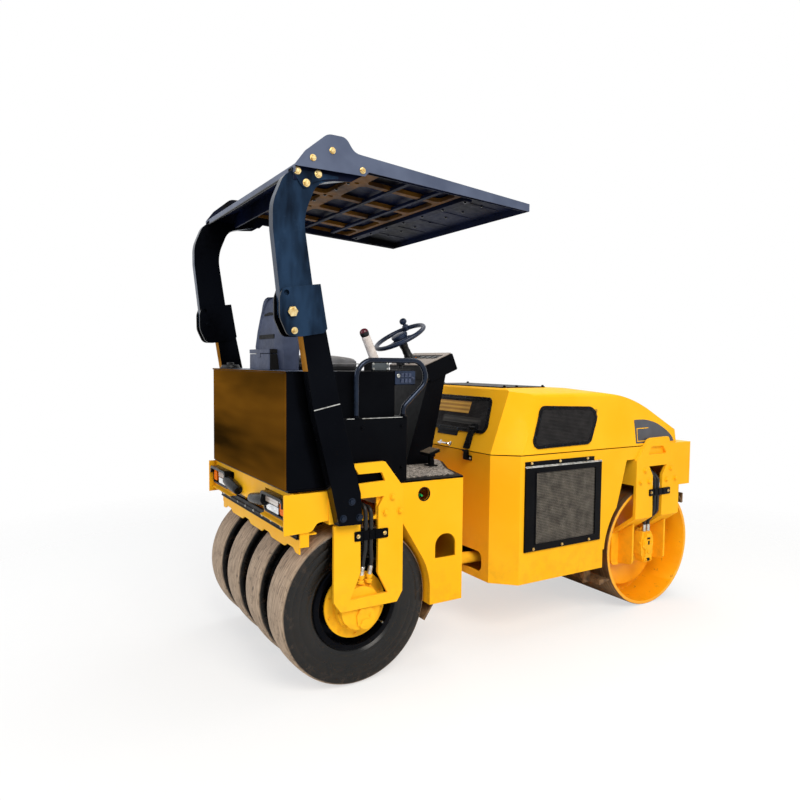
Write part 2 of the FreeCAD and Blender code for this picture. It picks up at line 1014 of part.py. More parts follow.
def steering_wheel():
    """Rim, three flat spokes, boss and the spinner knob, tilted towards the driver."""
    tube = size.wheelRimTube.value
    radius = size.wheelRimRadius.value - tube
    up = FreeCAD.Vector(0, 0, 1)
    rim = Part.makeTorus(radius, tube)
    boss = Part.makeCylinder(34, 34, FreeCAD.Vector(0, 0, -34))
    bore = Part.makeCylinder(9 + size.runningFit.value, 36, FreeCAD.Vector(0, 0, -36))
    wheel = rim.fuse(boss)
    for k in range(3):
        spoke = Part.makeBox(radius, 30, 8, FreeCAD.Vector(0, -15, -16))
        spoke.rotate(FreeCAD.Vector(), up, 60 + 120 * k)
        wheel = wheel.fuse(spoke)
    knob_x = radius * math.cos(math.radians(60))
    knob_y = radius * math.sin(math.radians(60))
    stem = Part.makeCylinder(8, 36, FreeCAD.Vector(knob_x, knob_y, 4))
    knob = Part.makeSphere(22, FreeCAD.Vector(knob_x, knob_y, 52))
    wheel = wheel.fuse(stem).fuse(knob).cut(bore)
    piece = doc.addObject("Part::Feature", unique("Wheel"))
    piece.Shape = wheel.removeSplitter()
    turn = FreeCAD.Rotation(FreeCAD.Vector(0, 1, 0), -size.steerTilt.value)
    piece.Placement = FreeCAD.Placement(FreeCAD.Vector(steerX.value, 0, steerZ.value), turn)
    return piece


node(steering_wheel(), "steering_wheel")


def handrail():
    """Tube loop on the ledge beside the seat."""
    side = -size.ledgeHalf + size.railTube
    foot = size.ledgeTop
    points = [
        (back(-18), side, foot),
        (back(-18), side, 1621),
        (back(356), side, 1621),
        (back(396), side, 1518),
        (back(250), side, 1385),
        (back(250), side, foot),
    ]
    return tube_along(points, size.railTube, dim(90))


node(pair(handrail()), "handrails")


def drive_lever():
    """Travel lever with its grip, and the hand throttle beside it."""
    foot = FreeCAD.Vector(back(180).value, -460, size.benchTop.value + 48)
    head = FreeCAD.Vector(back(104).value, -450, 1760)
    direction = head - foot
    stem = Part.makeCone(20, 13, direction.Length + 10, foot - direction * 0.05, direction)
    grip = Part.makeSphere(24, head)
    piece = doc.addObject("Part::Feature", unique("Lever"))
    piece.Shape = stem.fuse(grip)
    top = size.benchTop + 48
    return minus(piece, block((back(100), -520, top - 60), (back(260), -400, top)))


node(drive_lever(), "drive_lever")


def brake_pedal():
    """Pedal pad on its bent stem, to the right of the pedestal."""
    pad_plate = plate(
        "XZ", -size.dashHalf - 150, -size.dashHalf - 30,
        [
            (back(548), 1092),
            (back(664), 1128),
            (back(660), 1140),
            (back(544), 1104),
        ],
    )
    stem = plate(
        "XZ", -size.dashHalf - 100, -size.dashHalf - 80,
        [
            (back(612), floorTop + size.matThick),
            (back(648), floorTop + size.matThick),
            (back(640), 1124),
            (back(612), 1115),
        ],
    )
    return fuse(pad_plate, stem)


node(brake_pedal(), "brake_pedal")

# ---------------------------------------------------------------- folding canopy

armOuter = size.armCentre + size.armThick / 2
armInner = size.armCentre - size.armThick / 2
legInner = size.panelOuter + size.seatGap
legOuter = legInner + size.legThick
cheekInner = armInner - size.movingGap - size.cheekThick
cheekOuter = armOuter + size.movingGap


def rops_leg():
    """Box-section leg on its foot, with two cheeks and the fold pin."""
    leg = plate(
        "XZ", -legOuter, -legInner,
        [
            (back(-188), 1004),
            (back(-151), 840),
            (back(-29), 836),
            (back(-37), 985),
            (back(-150), 1416),
            (back(-228), size.foldHeight - size.foldPin * 3 - 6),
            (back(-346), size.foldHeight - size.foldPin * 3 - 6),
            (back(-282), 1386),
        ],
    )
    cheek_outline = [
        (back(-384), 1941, 8),
        (back(-256), 1960),
        (back(-221), 1760),
        (back(-240), 1740),
        (back(-350), 1721, 24),
        (back(-412), 1721, 38),
        (back(-449), 1800, 80),
        (back(-450), 1890, 70),
        (back(-437), 1930, 14),
    ]
    cheeks = []
    for near in (cheekInner, cheekOuter):
        cheeks.append(plate("XZ", -near - size.cheekThick, -near, cheek_outline,
                            [(back(-418), 1912, 12)]))
    filler = plate(
        "XZ", -cheekOuter, -cheekInner - size.cheekThick,
        [
            (back(-232), size.foldHeight - size.foldPin * 3 - 6),
            (back(-340), size.foldHeight - size.foldPin * 3 - 6),
            (back(-330), 1725),
            (back(-242), 1742),
        ],
    )
    pin = rod("y", (foldX, -cheekOuter - size.cheekThick - 6, foldZ),
              cheekOuter - cheekInner + size.cheekThick + 12, size.foldPin)
    return fuse(leg, *cheeks, filler, pin)


node(pair(rops_leg()), "rops_legs")


def canopy_arm():
    """Curved arm from the fold pin up to the roof, with its bolting gusset."""
    arm = plate(
        "XZ", -armOuter, -armInner,
        [
            (foldX - 44, foldZ + 40, 20),
            (back(-size.armReach), 2190, 300),
            (back(-size.armReach), 2300, 200),
            (back(-415), 2446, 90),
            (back(-330), 2452),
            (back(-100), 2462),
            (back(-110), 2446),
            (back(-268), 2408, 90),
            (back(-332), 2250, 240),
            (back(-262), foldZ - size.foldPin * 3 + 1),
            (foldX - 44, foldZ - size.foldPin * 3 + 1, 42),
        ],
        [(foldX, foldZ, size.foldPin + size.runningFit)],
    )
    return arm


arm_right = canopy_arm()
node(pair(arm_right), "canopy_arms")


def canopy_roof():
    """Bent roof sheet with turned-down lips, side plates with a hump, and cross ribs."""
    half = size.roofHalf
    sheet_top = plate(
        "XZ", -half, half,
        [
            (back(-size.roofRear), size.roofRearHeight),
            (back(-size.roofRidge), size.roofRidgeHeight),
            (back(size.roofFront), size.roofFrontHeight),
            (back(size.roofFront), size.roofFrontHeight - 40),
            (back(size.roofFront) - size.roofSheet, size.roofFrontHeight - 40),
            (back(size.roofFront) - size.roofSheet, size.roofFrontHeight - size.roofSheet),
            (back(-size.roofRidge), size.roofRidgeHeight - size.roofSheet),
            (back(-size.roofRear) + size.roofSheet, size.roofRearHeight - size.roofSheet),
            (back(-size.roofRear) + size.roofSheet, size.roofRearHeight - 34),
            (back(-size.roofRear), size.roofRearHeight - 34),
        ],
    )
    side = plate(
        "XZ", -half - 6, -half,
        [
            (back(-size.roofRear), size.roofRearHeight),
            (back(-337), 2532, 60),
            (back(-230), 2622, 60),
            (back(-140), 2622, 45),
            (back(-95), 2560, 60),
            (back(size.roofFront), size.roofFrontHeight),
            (back(size.roofFront), size.roofFrontHeight - 40),
            (back(-20), 2485),
            (back(-41), 2464),
            (back(-size.roofRear), size.roofRearHeight - 8),
        ],
    )
    rail = plate(
        "XZ", -armOuter - size.seatGap - 6, -armOuter - size.seatGap,
        [
            (back(-size.roofRear) + 3, size.roofRearHeight - 3),
            (back(-size.roofRidge), size.roofRidgeHeight - 3),
            (back(size.roofFront) - 3, size.roofFrontHeight - 3),
            (back(size.roofFront) - 3, size.roofFrontHeight - 38),
            (back(-20), 2484),
            (back(-100), 2436),
            (back(-size.roofRear) + 3, 2408),
        ],
    )
    heads = []
    for x, z in ((-207, 2552), (-301, 2506), (-54, 2488)):
        heads.append(rod("y", (back(x), -half - 14, z), 9, 9))
    heads = group(*heads)
    notch = block((back(-size.roofRear) - 5, -armOuter - 2, 2400),
                  (back(-size.roofRear) + 8, -armInner + 2, 2462))
    cross = block((back(-228), -armInner + size.seatGap, 2432),
                  (back(-218), armInner - size.seatGap, 2519))
    roof = minus(fuse(sheet_top, side, mirrored(side), rail, mirrored(rail), cross),
                 notch, mirrored(notch))
    return fuse(roof, heads, mirrored(heads))


node(canopy_roof(), "canopy_roof")

# ---------------------------------------------------------------- front frame

shellRearX = pivotX + size.shellRear
wellBackX = ahead(-size.drumWellBack)
archRadius = size.drumRadius + size.archGap
hoodFold = dim(1427)
drumForkInner = size.shellHalf + size.seatGap
drumForkOuter = drumForkInner + size.drumForkThick
motorPlate = dim(415)


def plan_outline(inset):
    """Plan of the front frame: bevelled rear corners, straight sides."""
    half = size.shellHalf - inset
    rear = shellRearX + inset
    bevel = size.shellBevel
    front_end = ahead(size.forkRise) - inset
    return [
        (rear, -half + bevel),
        (rear + bevel, -half),
        (front_end, -half),
        (front_end, half),
        (rear + bevel, half),
        (rear, half - bevel),
    ]


def front_frame():
    """Open-topped hull: floor, bevelled rear wall, sides and the guard over the drum."""
    bottom = size.shellBottom
    top = size.seamHeight
    wall = size.shellWall
    outside = overlap(
        plate("XY", bottom, top, plan_outline(dim(0))),
        minus(
            plate(
                "XZ", -size.shellHalf, size.shellHalf,
                [
                    (shellRearX, bottom),
                    (wellBackX, bottom),
                    (wellBackX, 440),
                    (ahead(size.forkRise), 440),
                    (ahead(size.forkRise), top),
                    (shellRearX, top),
                ],
            ),
            rod("y", (drumAxle, -700, drumAxleZ), dim(1400), archRadius),
        ),
    )
    inside = overlap(
        plate("XY", bottom + wall, top + 10, plan_outline(wall)),
        minus(
            plate(
                "XZ", -size.shellHalf, size.shellHalf,
                [
                    (shellRearX, bottom + wall),
                    (wellBackX - wall, bottom + wall),
                    (wellBackX - wall, 440 + wall),
                    (ahead(size.forkRise) - wall, 440 + wall),
                    (ahead(size.forkRise) - wall, top + 10),
                    (shellRearX, top + 10),
                ],
            ),
            rod("y", (drumAxle, -700, drumAxleZ), dim(1400), archRadius + wall),
        ),
    )
    slot = plate(
        "YZ", shellRearX - 20, shellRearX + 60,
        [
            (-400, size.cylinderHeight - 60, 40),
            (-150, size.cylinderHeight - 60, 40),
            (-150, size.cylinderHeight + 60, 40),
            (-400, size.cylinderHeight + 60, 40),
        ],
    )
    grille_holes = []
    for side in (-1, 1):
        y = size.shellHalf * side
        grille_holes.append(block((ahead(-1094), y - 30, 530), (ahead(-532), y + 30, 1000)))
    behind_fork = plate(
        "XZ", -size.shellHalf - 10, -size.shellHalf + 100,
        [
            (ahead(-263), 996),
            (ahead(-318), 800, 60),
            (ahead(-350), 690),
            (ahead(-330), 640),
            (ahead(130), 640),
            (ahead(130), 960),
            (ahead(-100), 996),
        ],
    )
    hull = minus(outside, inside, slot, *grille_holes, behind_fork, mirrored(behind_fork))
    eyes = []
    for low in (size.lugThick + 600 + size.movingGap, 880 - size.lugThick - size.movingGap):
        eyes.append(plate(
            "XY", low, low + size.lugThick,
            [
                (shellRearX + 5, -150),
                (shellRearX + 5, 150),
                (pivotX - 86, 86, 80),
                (pivotX - 86, -86, 80),
            ],
            [(pivotX, 0, size.pivotPin + size.runningFit)],
        ))
    y = -size.barrelEyeSide
    base = []
    for low in (size.cylinderHeight + 22, size.cylinderHeight - 34):
        base.append(block((barrelEyeX - 32, y - 36, low), (barrelEyeX + 62, y + 36, low + 12)))
    base.append(block((barrelEyeX + 50, y - 36, size.shellBottom + 5),
                      (barrelEyeX + 62, y + 36, size.cylinderHeight + 34)))
    base.append(rod("z", (barrelEyeX, y, size.cylinderHeight - 34), dim(68), size.eyePin))
    return fuse(hull, *eyes, *base)


node(front_frame(), "front_frame")

node(block((ahead(-1080), -230, size.shellBottom + size.shellWall),
           (ahead(-520), 230, 1040)), "engine_block")


def side_grille():
    """Framed panel over the radiator opening, screwed under its top flange."""
    y = size.shellHalf
    frame = plate(
        "XZ", -y - 14, -y,
        [
            (ahead(-1134), 514),
            (ahead(-506), 514),
            (ahead(-506), 1016),
            (ahead(-566), 1016),
            (ahead(-566), 1044),
            (ahead(-1134), 1044),
        ],
        [[
            (ahead(-1050), 556),
            (ahead(-560), 556),
            (ahead(-560), 976),
            (ahead(-1050), 976),
        ]],
    )
    mesh = block((ahead(-1056), -y - 8, 550), (ahead(-554), -y - 4, 982))
    return fuse(frame, mesh)


node(pair(side_grille()), "side_grilles")


def front_fork():
    """Bent plate with two legs that lean into the drum, and a return flange on its rear edge."""
    face = -drumForkOuter
    outline = [
        (ahead(-190), 990),
        (ahead(-78), 1122, 20),
        (ahead(-48), 1131, 20),
        (ahead(124), 1134, 12),
        (ahead(144), 1092),
        (ahead(size.forkRise), 1088),
        (ahead(size.forkRise), 604),
        (ahead(70), 604),
        (ahead(70), 882),
        (ahead(112), 945),
        (ahead(-66), 945),
        (ahead(-28), 882),
        (ahead(-22), 604),
        (ahead(-190), 604),
    ]
    lifting_hole = [
        (ahead(-78), 1022, 6),
        (ahead(108), 1022, 6),
        (ahead(70), 1075, 6),
        (ahead(-46), 1075, 6),
    ]
    upper = plate("XZ", face, face + size.drumForkThick, outline, [lifting_hole])
    flange = plate(
        "YZ", ahead(-190), ahead(-178),
        [
            (face + 5, 823),
            (-size.shellHalf + 97, 823),
            (-size.shellHalf + 97, 838),
            (-size.shellHalf + 142, 838),
            (-size.shellHalf + 142, 890, 20),
            (-size.shellHalf + 88, 990, 30),
            (face + 5, 990),
        ],
    )
    legs = []
    for low, high in ((-190, -22), (70, size.forkRise)):
        legs.append(plate(
            "YZ", ahead(low), ahead(high),
            [
                (face, 606, 30),
                (-motorPlate - 15, 474),
                (-motorPlate - 15, 498),
                (face + size.drumForkThick, 620, 30),
                (face + size.drumForkThick, 680),
                (face, 680),
            ],
        ))
    return fuse(upper, flange, *legs)


node(pair(front_fork()), "front_forks")


def drum_bracket():
    """Motor plate inside the drum's mouth, with the two ribs that stiffen it."""
    inner = -motorPlate
    carrier = plate(
        "XZ", inner - 15, inner,
        [
            (ahead(-200), 474),
            (ahead(-200), 250, 40),
            (ahead(240), 250, 40),
            (ahead(240), 474),
        ],
        [(drumAxle, drumAxleZ, size.drumMotorRadius + size.seatGap)],
    )
    ribs = []
    for x in (-125, 195):
        ribs.append(plate(
            "YZ", ahead(x) - 8, ahead(x) + 8,
            [
                (inner - 10, 474),
                (-545, 552),
                (-545, 278, 26),
                (inner - 10, 262),
            ],
        ))
    return minus(fuse(carrier, *ribs), fork_leg_space())


def fork_leg_space():
    """The bent legs' volume with its seating gap, which the ribs are trimmed to."""
    face = -drumForkOuter
    return plate(
        "YZ", ahead(-191), ahead(size.forkRise) + 1,
        [
            (face - 1, 604.9),
            (-motorPlate - 14, 472.6),
            (-motorPlate - 14, 560),
            (face - 1, 700),
        ],
    )


node(pair(drum_bracket()), "drum_brackets")


def drum_motor():
    """Motor in the drum's mouth with its port block and the shaft that carries the drum."""
    face = -motorPlate - 15 - size.seatGap
    profile = [
        (-520, 0),
        (-520, size.drumMotorRadius - 14, 8),
        (face - 16, size.drumMotorRadius - 6),
        (face - 16, size.drumMotorRadius + 32, 4),
        (face, size.drumMotorRadius + 32),
        (face, size.drumMotorRadius),
        (-motorPlate + 14, size.drumMotorRadius),
        (-motorPlate + 14, size.stubRadius),
        (-304, size.stubRadius),
        (-304, 0),
    ]
    ports = plate(
        "XZ", -560, -500,
        [
            (ahead(-34), drumAxleZ - 116),
            (ahead(34), drumAxleZ - 116),
            (ahead(58), drumAxleZ - 60),
            (ahead(58), drumAxleZ + 50),
            (ahead(36), drumAxleZ + 88),
            (ahead(-50), drumAxleZ + 88),
            (ahead(-58), drumAxleZ + 50),
            (ahead(-58), drumAxleZ - 60),
        ],
    )
    return fuse(minus(spin(profile, drumAxle, drumAxleZ), fork_leg_space()), ports)


node(pair(drum_motor()), "drum_motors")


def front_beam():
    """Cross-beam in front of the drum, joining both forks."""
    low = size.beamBottom
    high = size.beamTop
    front = ahead(size.beamFront)
    rear = ahead(size.forkRise) + size.seatGap
    half = drumForkOuter
    face = block((front - 12, -half, low), (front, half, high))
    top = block((rear, -half, high - 12), (front, half, high))
    end = block((rear, -half, low), (front, -half + 12, high))
    hinges = []
    for side in (-1, 1):
        middle = side * 300
        hinges.append(rod("y", (hoodHingeX, middle - 34, hoodHingeZ), dim(68), size.hoodPin))
        for y in (middle - 28, middle + 28):
            ear = plate(
                "XZ", y - 4, y + 4,
                [
                    (hoodHingeX - 12, high - 5),
                    (hoodHingeX + 12, high - 5),
                    (hoodHingeX + 12, hoodHingeZ + 12, 11),
                    (hoodHingeX - 12, hoodHingeZ + 12, 11),
                ],
            )
            hinges.append(ear)
    return fuse(face, top, end, mirrored(end), *hinges)


node(front_beam(), "front_beam")


def rear_drum_scraper():
    """Scraper bar behind the drum, held to the hull by two arms."""
    bar = plate(
        "XZ", -560, 560,
        [
            (wellBackX + 14, 200),
            (wellBackX + 52, 200),
            (wellBackX + 56, 212),
            (ahead(-366), 216),
            (ahead(-366), 224),
            (wellBackX + 52, 232),
            (wellBackX + 14, 232),
        ],
    )
    arm = block((wellBackX - 40, -478, 200),
                (wellBackX + 20, -462, size.shellBottom - size.seatGap))
    return fuse(bar, arm, mirrored(arm))


def front_drum_scraper():
    """Scraper blade in front of the drum, hung from the cross-beam on three plates."""
    blade = plate(
        "XZ", -565, 565,
        [
            (ahead(318), 694),
            (ahead(347), 652),
            (ahead(359), 656),
            (ahead(359), 722),
            (ahead(347), 722),
            (ahead(347), 672),
            (ahead(326), 702),
        ],
    )
    hangers = []
    for y in (-540, -20, 500):
        hangers.append(block((ahead(335), y, 705),
                             (ahead(347), y + 40, size.beamBottom + 60)))
    return fuse(blade, *hangers)


node(group(rear_drum_scraper(), front_drum_scraper()), "drum_scrapers")

# ---------------------------------------------------------------- drum


def drum():
    """Smooth shell with recessed heads and their hubs."""
    half = size.drumWidth / 2
    shell_in = size.drumRadius - size.drumWall
    head = 330
    hub_bore = size.stubRadius + size.runningFit
    profile = [
        (-half, shell_in),
        (-half, size.drumRadius, 6),
        (half, size.drumRadius, 6),
        (half, shell_in),
        (head, shell_in),
        (head, size.drumHubRadius),
        (head + 40, size.drumHubRadius),
        (head + 40, size.drumDiscRadius),
        (head + 52, size.drumDiscRadius),
        (head + 52, hub_bore),
        (head - 30, hub_bore),
        (head - 30, size.drumHubRadius),
        (head - 16, size.drumHubRadius),
        (head - 16, shell_in),
        (-head + 16, shell_in),
        (-head + 16, size.drumHubRadius),
        (-head + 30, size.drumHubRadius),
        (-head + 30, hub_bore),
        (-head - 52, hub_bore),
        (-head - 52, size.drumDiscRadius),
        (-head - 40, size.drumDiscRadius),
        (-head - 40, size.drumHubRadius),
        (-head, size.drumHubRadius),
        (-head, shell_in),
    ]
    return spin(profile, drumAxle, drumAxleZ)


node(drum(), "drum_shell")

# ---------------------------------------------------------------- hood


def hood_lean(height):
    """How far the hood's side stands from the middle at a height."""
    foot = size.seamHeight + size.hoodGap
    rise = (height - foot) / (size.hoodRearTop - foot)
    start = size.shellHalf - size.movingGap
    return start - (start - (size.hoodHalf - 40)) * rise


def hood_form(inset):
    """The hood as the volume shared by its side view, plan and front view."""
    top = size.hoodRearTop - inset
    low = size.seamHeight + size.hoodGap
    rear = shellRearX + inset
    front_end = ahead(size.hoodFront) - inset
    side_view = plate(
        "XZ", -700, 700,
        [
            (rear, low),
            (ahead(size.forkRise) - 10 + inset, low),
            (ahead(size.forkRise) - 4 + inset, size.beamTop + size.hoodGap),
            (front_end, size.beamTop + size.hoodGap),
            (front_end, 1145 - inset, 85),
            (ahead(-150), 1400 - inset, 900),
            (ahead(-700), top, 900),
            (rear + 140, top, 20),
        ],
    )
    half_low = size.shellHalf - size.movingGap - inset
    half_fold = hood_lean(hoodFold) - inset
    front_view = plate(
        "YZ", rear - 50, front_end + 50,
        [
            (-half_low, low),
            (half_low, low),
            (half_fold, hoodFold - inset * 0.6, 45),
            (half_fold - 95, size.hoodRearTop - inset, 120),
            (95 - half_fold, size.hoodRearTop - inset, 120),
            (-half_fold, hoodFold - inset * 0.6, 45),
        ],
    )
    return overlap(side_view, hood_corners(inset, low, front_end), front_view)


def hood_corners(inset, low, front_end):
    """Volume between two plans: the corner panels widen towards the top of the hood."""
    bevel = size.shellBevel
    plans = (
        (low, shellRearX + inset, size.shellHalf - bevel - inset * 0.45,
         bevel + 34 - inset * 0.6, size.shellHalf + 10 - inset),
        (size.hoodRearTop + 1, shellRearX + 140 + inset, size.shellHalf - bevel - inset * 0.77,
         bevel + 159 - inset * 0.87, size.shellHalf - 50 - inset),
    )
    sections = []
    for height, rear, narrow, run, wide in plans:
        section = doc.addObject("Sketcher::SketchObject", unique("Sketch"))
        section.setExpression("Placement.Base.z", dim(height).formula)
        trace(section, [
            (rear, -narrow),
            (rear + run, -wide),
            (front_end, -wide, 110),
            (front_end, wide, 110),
            (rear + run, wide),
            (rear, narrow),
        ])
        sections.append(section)
    volume = doc.addObject("Part::Loft", unique("Loft"))
    volume.Sections = sections
    volume.Solid = True
    volume.Ruled = True
    return volume


def hood():
    """Sheet hood with two side windows, a rear window and rounded crown."""
    shell = minus(hood_form(dim(0)), hood_form(size.hoodWall))
    window = plate(
        "XZ", -700, 700,
        [
            (ahead(-1060), 1130, 24),
            (ahead(-600), 1138, 44),
            (ahead(-492), 1330, 44),
            (ahead(-979), 1346, 30),
        ],
    )
    rear_window = plate(
        "YZ", shellRearX - 40, shellRearX + 200,
        [
            (-354, 1215, 30),
            (354, 1215, 30),
            (322, 1380, 30),
            (-322, 1380, 30),
        ],
    )
    sheet = minus(shell, window, rear_window)
    knuckles = []
    bores = []
    for side in (-1, 1):
        start = side * 300 - 20
        leaf = block((ahead(size.hoodFront) - 5, start, hoodHingeZ - 6),
                     (hoodHingeX, start + 40, hoodHingeZ + 6))
        knuckles += [leaf, rod("y", (hoodHingeX, start, hoodHingeZ), dim(40), size.hoodPin + 5)]
        bores.append(rod("y", (hoodHingeX, start - 5, hoodHingeZ), dim(50),
                         size.hoodPin + size.runningFit))
    return minus(fuse(sheet, *knuckles), *bores)


node(hood(), "hood")


def side_screen():
    """Rubber-edged mesh panel in the hood's side window, leaning as the side does."""
    low, high = dim(1100), dim(1385)
    outline = [
        (ahead(-1083), 1112, 40),
        (ahead(-590), 1120, 62),
        (ahead(-466), 1345, 60),
        (ahead(-967), 1363, 44),
    ]
    slab = plate(
        "YZ", ahead(-1100), ahead(-440),
        [
            (-hood_lean(low) - size.seatGap, low),
            (-hood_lean(high) - size.seatGap, high),
            (-hood_lean(high) - 9, high),
            (-hood_lean(low) - 9, low),
        ],
    )
    return overlap(slab, plate("XZ", -700, -400, outline))


def rear_screen():
    """Mesh panel in the hood's leaning rear face."""
    low, high = dim(1195), dim(1400)
    slope = dim(140) / (size.hoodRearTop - size.seamHeight - size.hoodGap)
    foot = shellRearX + (low - size.seamHeight - size.hoodGap) * slope
    head = shellRearX + (high - size.seamHeight - size.hoodGap) * slope
    slab = plate(
        "XZ", -440, 440,
        [
            (foot - 9, low),
            (foot - size.seatGap, low),
            (head - size.seatGap, high),
            (head - 9, high),
        ],
    )
    outline = [
        (-384, low - 5, 44),
        (384, low - 5, 44),
        (342, high + 5, 44),
        (-342, high + 5, 44),
    ]
    return overlap(slab, plate("YZ", shellRearX - 60, shellRearX + 200, outline))


node(group(side_screen(), mirrored(side_screen()), rear_screen()), "hood_screens")

node(plate("XY", size.hoodRearTop + size.seatGap, size.hoodRearTop + 6, [
    (shellRearX + 150, -396, 10),
    (ahead(-800), -396, 10),
    (ahead(-800), 396, 10),
    (shellRearX + 150, 396, 10),
]), "hood_top_plate")

# ---------------------------------------------------------------- hydraulic hoses


def hose_pair(first, second, bend):
    return group(tube_along(first, dim(11), bend), tube_along(second, dim(11), bend))


def rear_hoses():
    """Two hoses out of the platform and down the fork's slot to the wheel motor."""
    side = -size.panelOuter
    paths = []
    for shift, foot in ((0, -2), (30, 44)):
        paths.append([
            (back(14 + shift), side + 70, 914 - 0.5 * shift),
            (back(14 + shift), side - 6, 911 - 0.5 * shift),
            (back(16 + shift), side - 12, 850),
            (back(16 + shift), side - 9, 700),
            (back(foot + 8), side - 6, 640),
            (back(foot + 8), side + 14, 560),
        ])
    return hose_pair(paths[0], paths[1], dim(40))


node(pair(rear_hoses()), "rear_hoses")


def front_hoses():
    """Two hoses out of the front frame and down the fork's slot to the drum motor."""
    side = -drumForkInner
    paths = []
    for shift, foot in ((0, -18), (32, 20)):
        paths.append([
            (ahead(0 + shift), side + 90, 930 - 0.6 * shift),
            (ahead(4 + shift), side + 20, 905 - 0.6 * shift),
            (ahead(6 + shift), side - 9, 850),
            (ahead(7 + shift), side - 9, 720),
            (ahead(6 + shift), side - 9, 640),
            (ahead(foot + 14), side + 56, 560),
            (ahead(foot + 14), side + 56, drumAxleZ + 88 + size.seatGap),
        ])
    return hose_pair(paths[0], paths[1], dim(40))


node(pair(front_hoses()), "front_hoses")

# ---------------------------------------------------------------- steering cylinder


cylinderRun = math.hypot((barrelEyeX - rodEyeX).value, (size.barrelEyeSide - size.rodEyeSide).value)
cylinderAim = FreeCAD.Vector(
    (rodEyeX - barrelEyeX).value / cylinderRun,
    (size.barrelEyeSide - size.rodEyeSide).value / cylinderRun,
    0,
)


def along_cylinder(distance, length, radius):
    """A round bar on the cylinder's line, starting so far from the barrel's eye."""
    start = FreeCAD.Vector(barrelEyeX.value, -size.barrelEyeSide.value, size.cylinderHeight.value)
    piece = doc.addObject("Part::Cylinder", unique("Cylinder"))
    piece.Placement = FreeCAD.Placement(
        start + cylinderAim * distance,
        FreeCAD.Rotation(FreeCAD.Vector(0, 0, 1), cylinderAim),
    )
    piece.setExpression("Radius", dim(radius).formula)
    piece.Height = length
    return piece


def cylinder_barrel():
    """Barrel with its gland, neck and base eye."""
    place = (barrelEyeX, -size.barrelEyeSide, size.cylinderHeight - 20)
    neck = along_cylinder(0, 90, 18)
    tube = along_cylinder(70, 320, size.barrelRadius)
    gland = along_cylinder(390, 26, size.barrelRadius + 5)
    bore = along_cylinder(105, 320, size.rodRadius + size.runningFit)
    eye = rod("z", place, dim(40), 32)
    pin_hole = rod("z", place, dim(40), size.eyePin + size.runningFit)
    return minus(fuse(tube, gland, neck, eye), bore, pin_hole)


node(cylinder_barrel(), "cylinder_barrel")


def cylinder_rod():
    """Rod with its eye and the pin that stays in the eye."""
    bottom = size.cylinderHeight - 20
    shaft = along_cylinder(cylinderRun - 416, 416, size.rodRadius)
    eye = rod("z", (rodEyeX, -size.rodEyeSide, bottom), dim(40), 32)
    return fuse(shaft, eye)


node(cylinder_rod(), "cylinder_rod")

# ---------------------------------------------------------------- checks and export

doc.recompute()

for item in doc.Objects:
    if "Invalid" in item.State or "Error" in item.State:
        raise RuntimeError("%s (%s) did not build" % (item.Label, item.Name))

for piece in nodes:
    if piece.Shape.isNull() or not piece.Shape.isValid():
        raise RuntimeError("%s has no valid shape" % piece.Label)
    piece.Shape.exportStep("parts/%s.step" % piece.Label)
    print("%-20s %d solids %9.1f cm3" % (piece.Label, len(piece.Shape.Solids),
                                         piece.Shape.Volume / 1000))
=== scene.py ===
import bpy
import bmesh
import json
import math
from functools import partial
from mathutils import Matrix, Quaternion, Vector


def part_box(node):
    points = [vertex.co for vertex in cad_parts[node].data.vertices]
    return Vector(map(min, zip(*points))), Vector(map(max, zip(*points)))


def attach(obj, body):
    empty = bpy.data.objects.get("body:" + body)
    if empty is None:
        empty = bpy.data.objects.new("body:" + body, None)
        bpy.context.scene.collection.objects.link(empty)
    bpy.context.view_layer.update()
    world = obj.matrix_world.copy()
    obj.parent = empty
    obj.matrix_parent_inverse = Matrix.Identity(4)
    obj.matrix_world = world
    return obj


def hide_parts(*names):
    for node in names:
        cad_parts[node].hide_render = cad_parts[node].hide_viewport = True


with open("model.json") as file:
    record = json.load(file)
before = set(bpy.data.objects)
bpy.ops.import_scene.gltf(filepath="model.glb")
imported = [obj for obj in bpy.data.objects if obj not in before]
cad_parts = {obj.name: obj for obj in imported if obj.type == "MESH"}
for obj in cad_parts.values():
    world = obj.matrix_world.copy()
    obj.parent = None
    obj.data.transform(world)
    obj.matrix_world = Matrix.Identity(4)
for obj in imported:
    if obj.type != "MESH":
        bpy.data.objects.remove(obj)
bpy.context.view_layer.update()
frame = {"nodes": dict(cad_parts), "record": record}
scene = bpy.context.scene
scene.view_settings.view_transform = "Standard"

mm = 0.001  # shapes are drawn in millimetres and scaled once at the end

# key places, read from the frame


def middleOf(node):
    low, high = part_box(node)
    return (low + high) / 2 / mm


tyreCentre = middleOf("right_outer_tyre")
rearX, tyreZ = tyreCentre.x, tyreCentre.z
drumCentre = middleOf("drum_shell")
drumX, drumZ = drumCentre.x, drumCentre.z
tyreYs = {
    name: middleOf(name).y
    for name in ("right_outer_tyre", "right_inner_tyre", "left_inner_tyre", "left_outer_tyre")
}


def back(distance):  # a place ahead of the rear axle
    return rearX + distance


def ahead(distance):  # a place ahead of the drum axle
    return drumX + distance


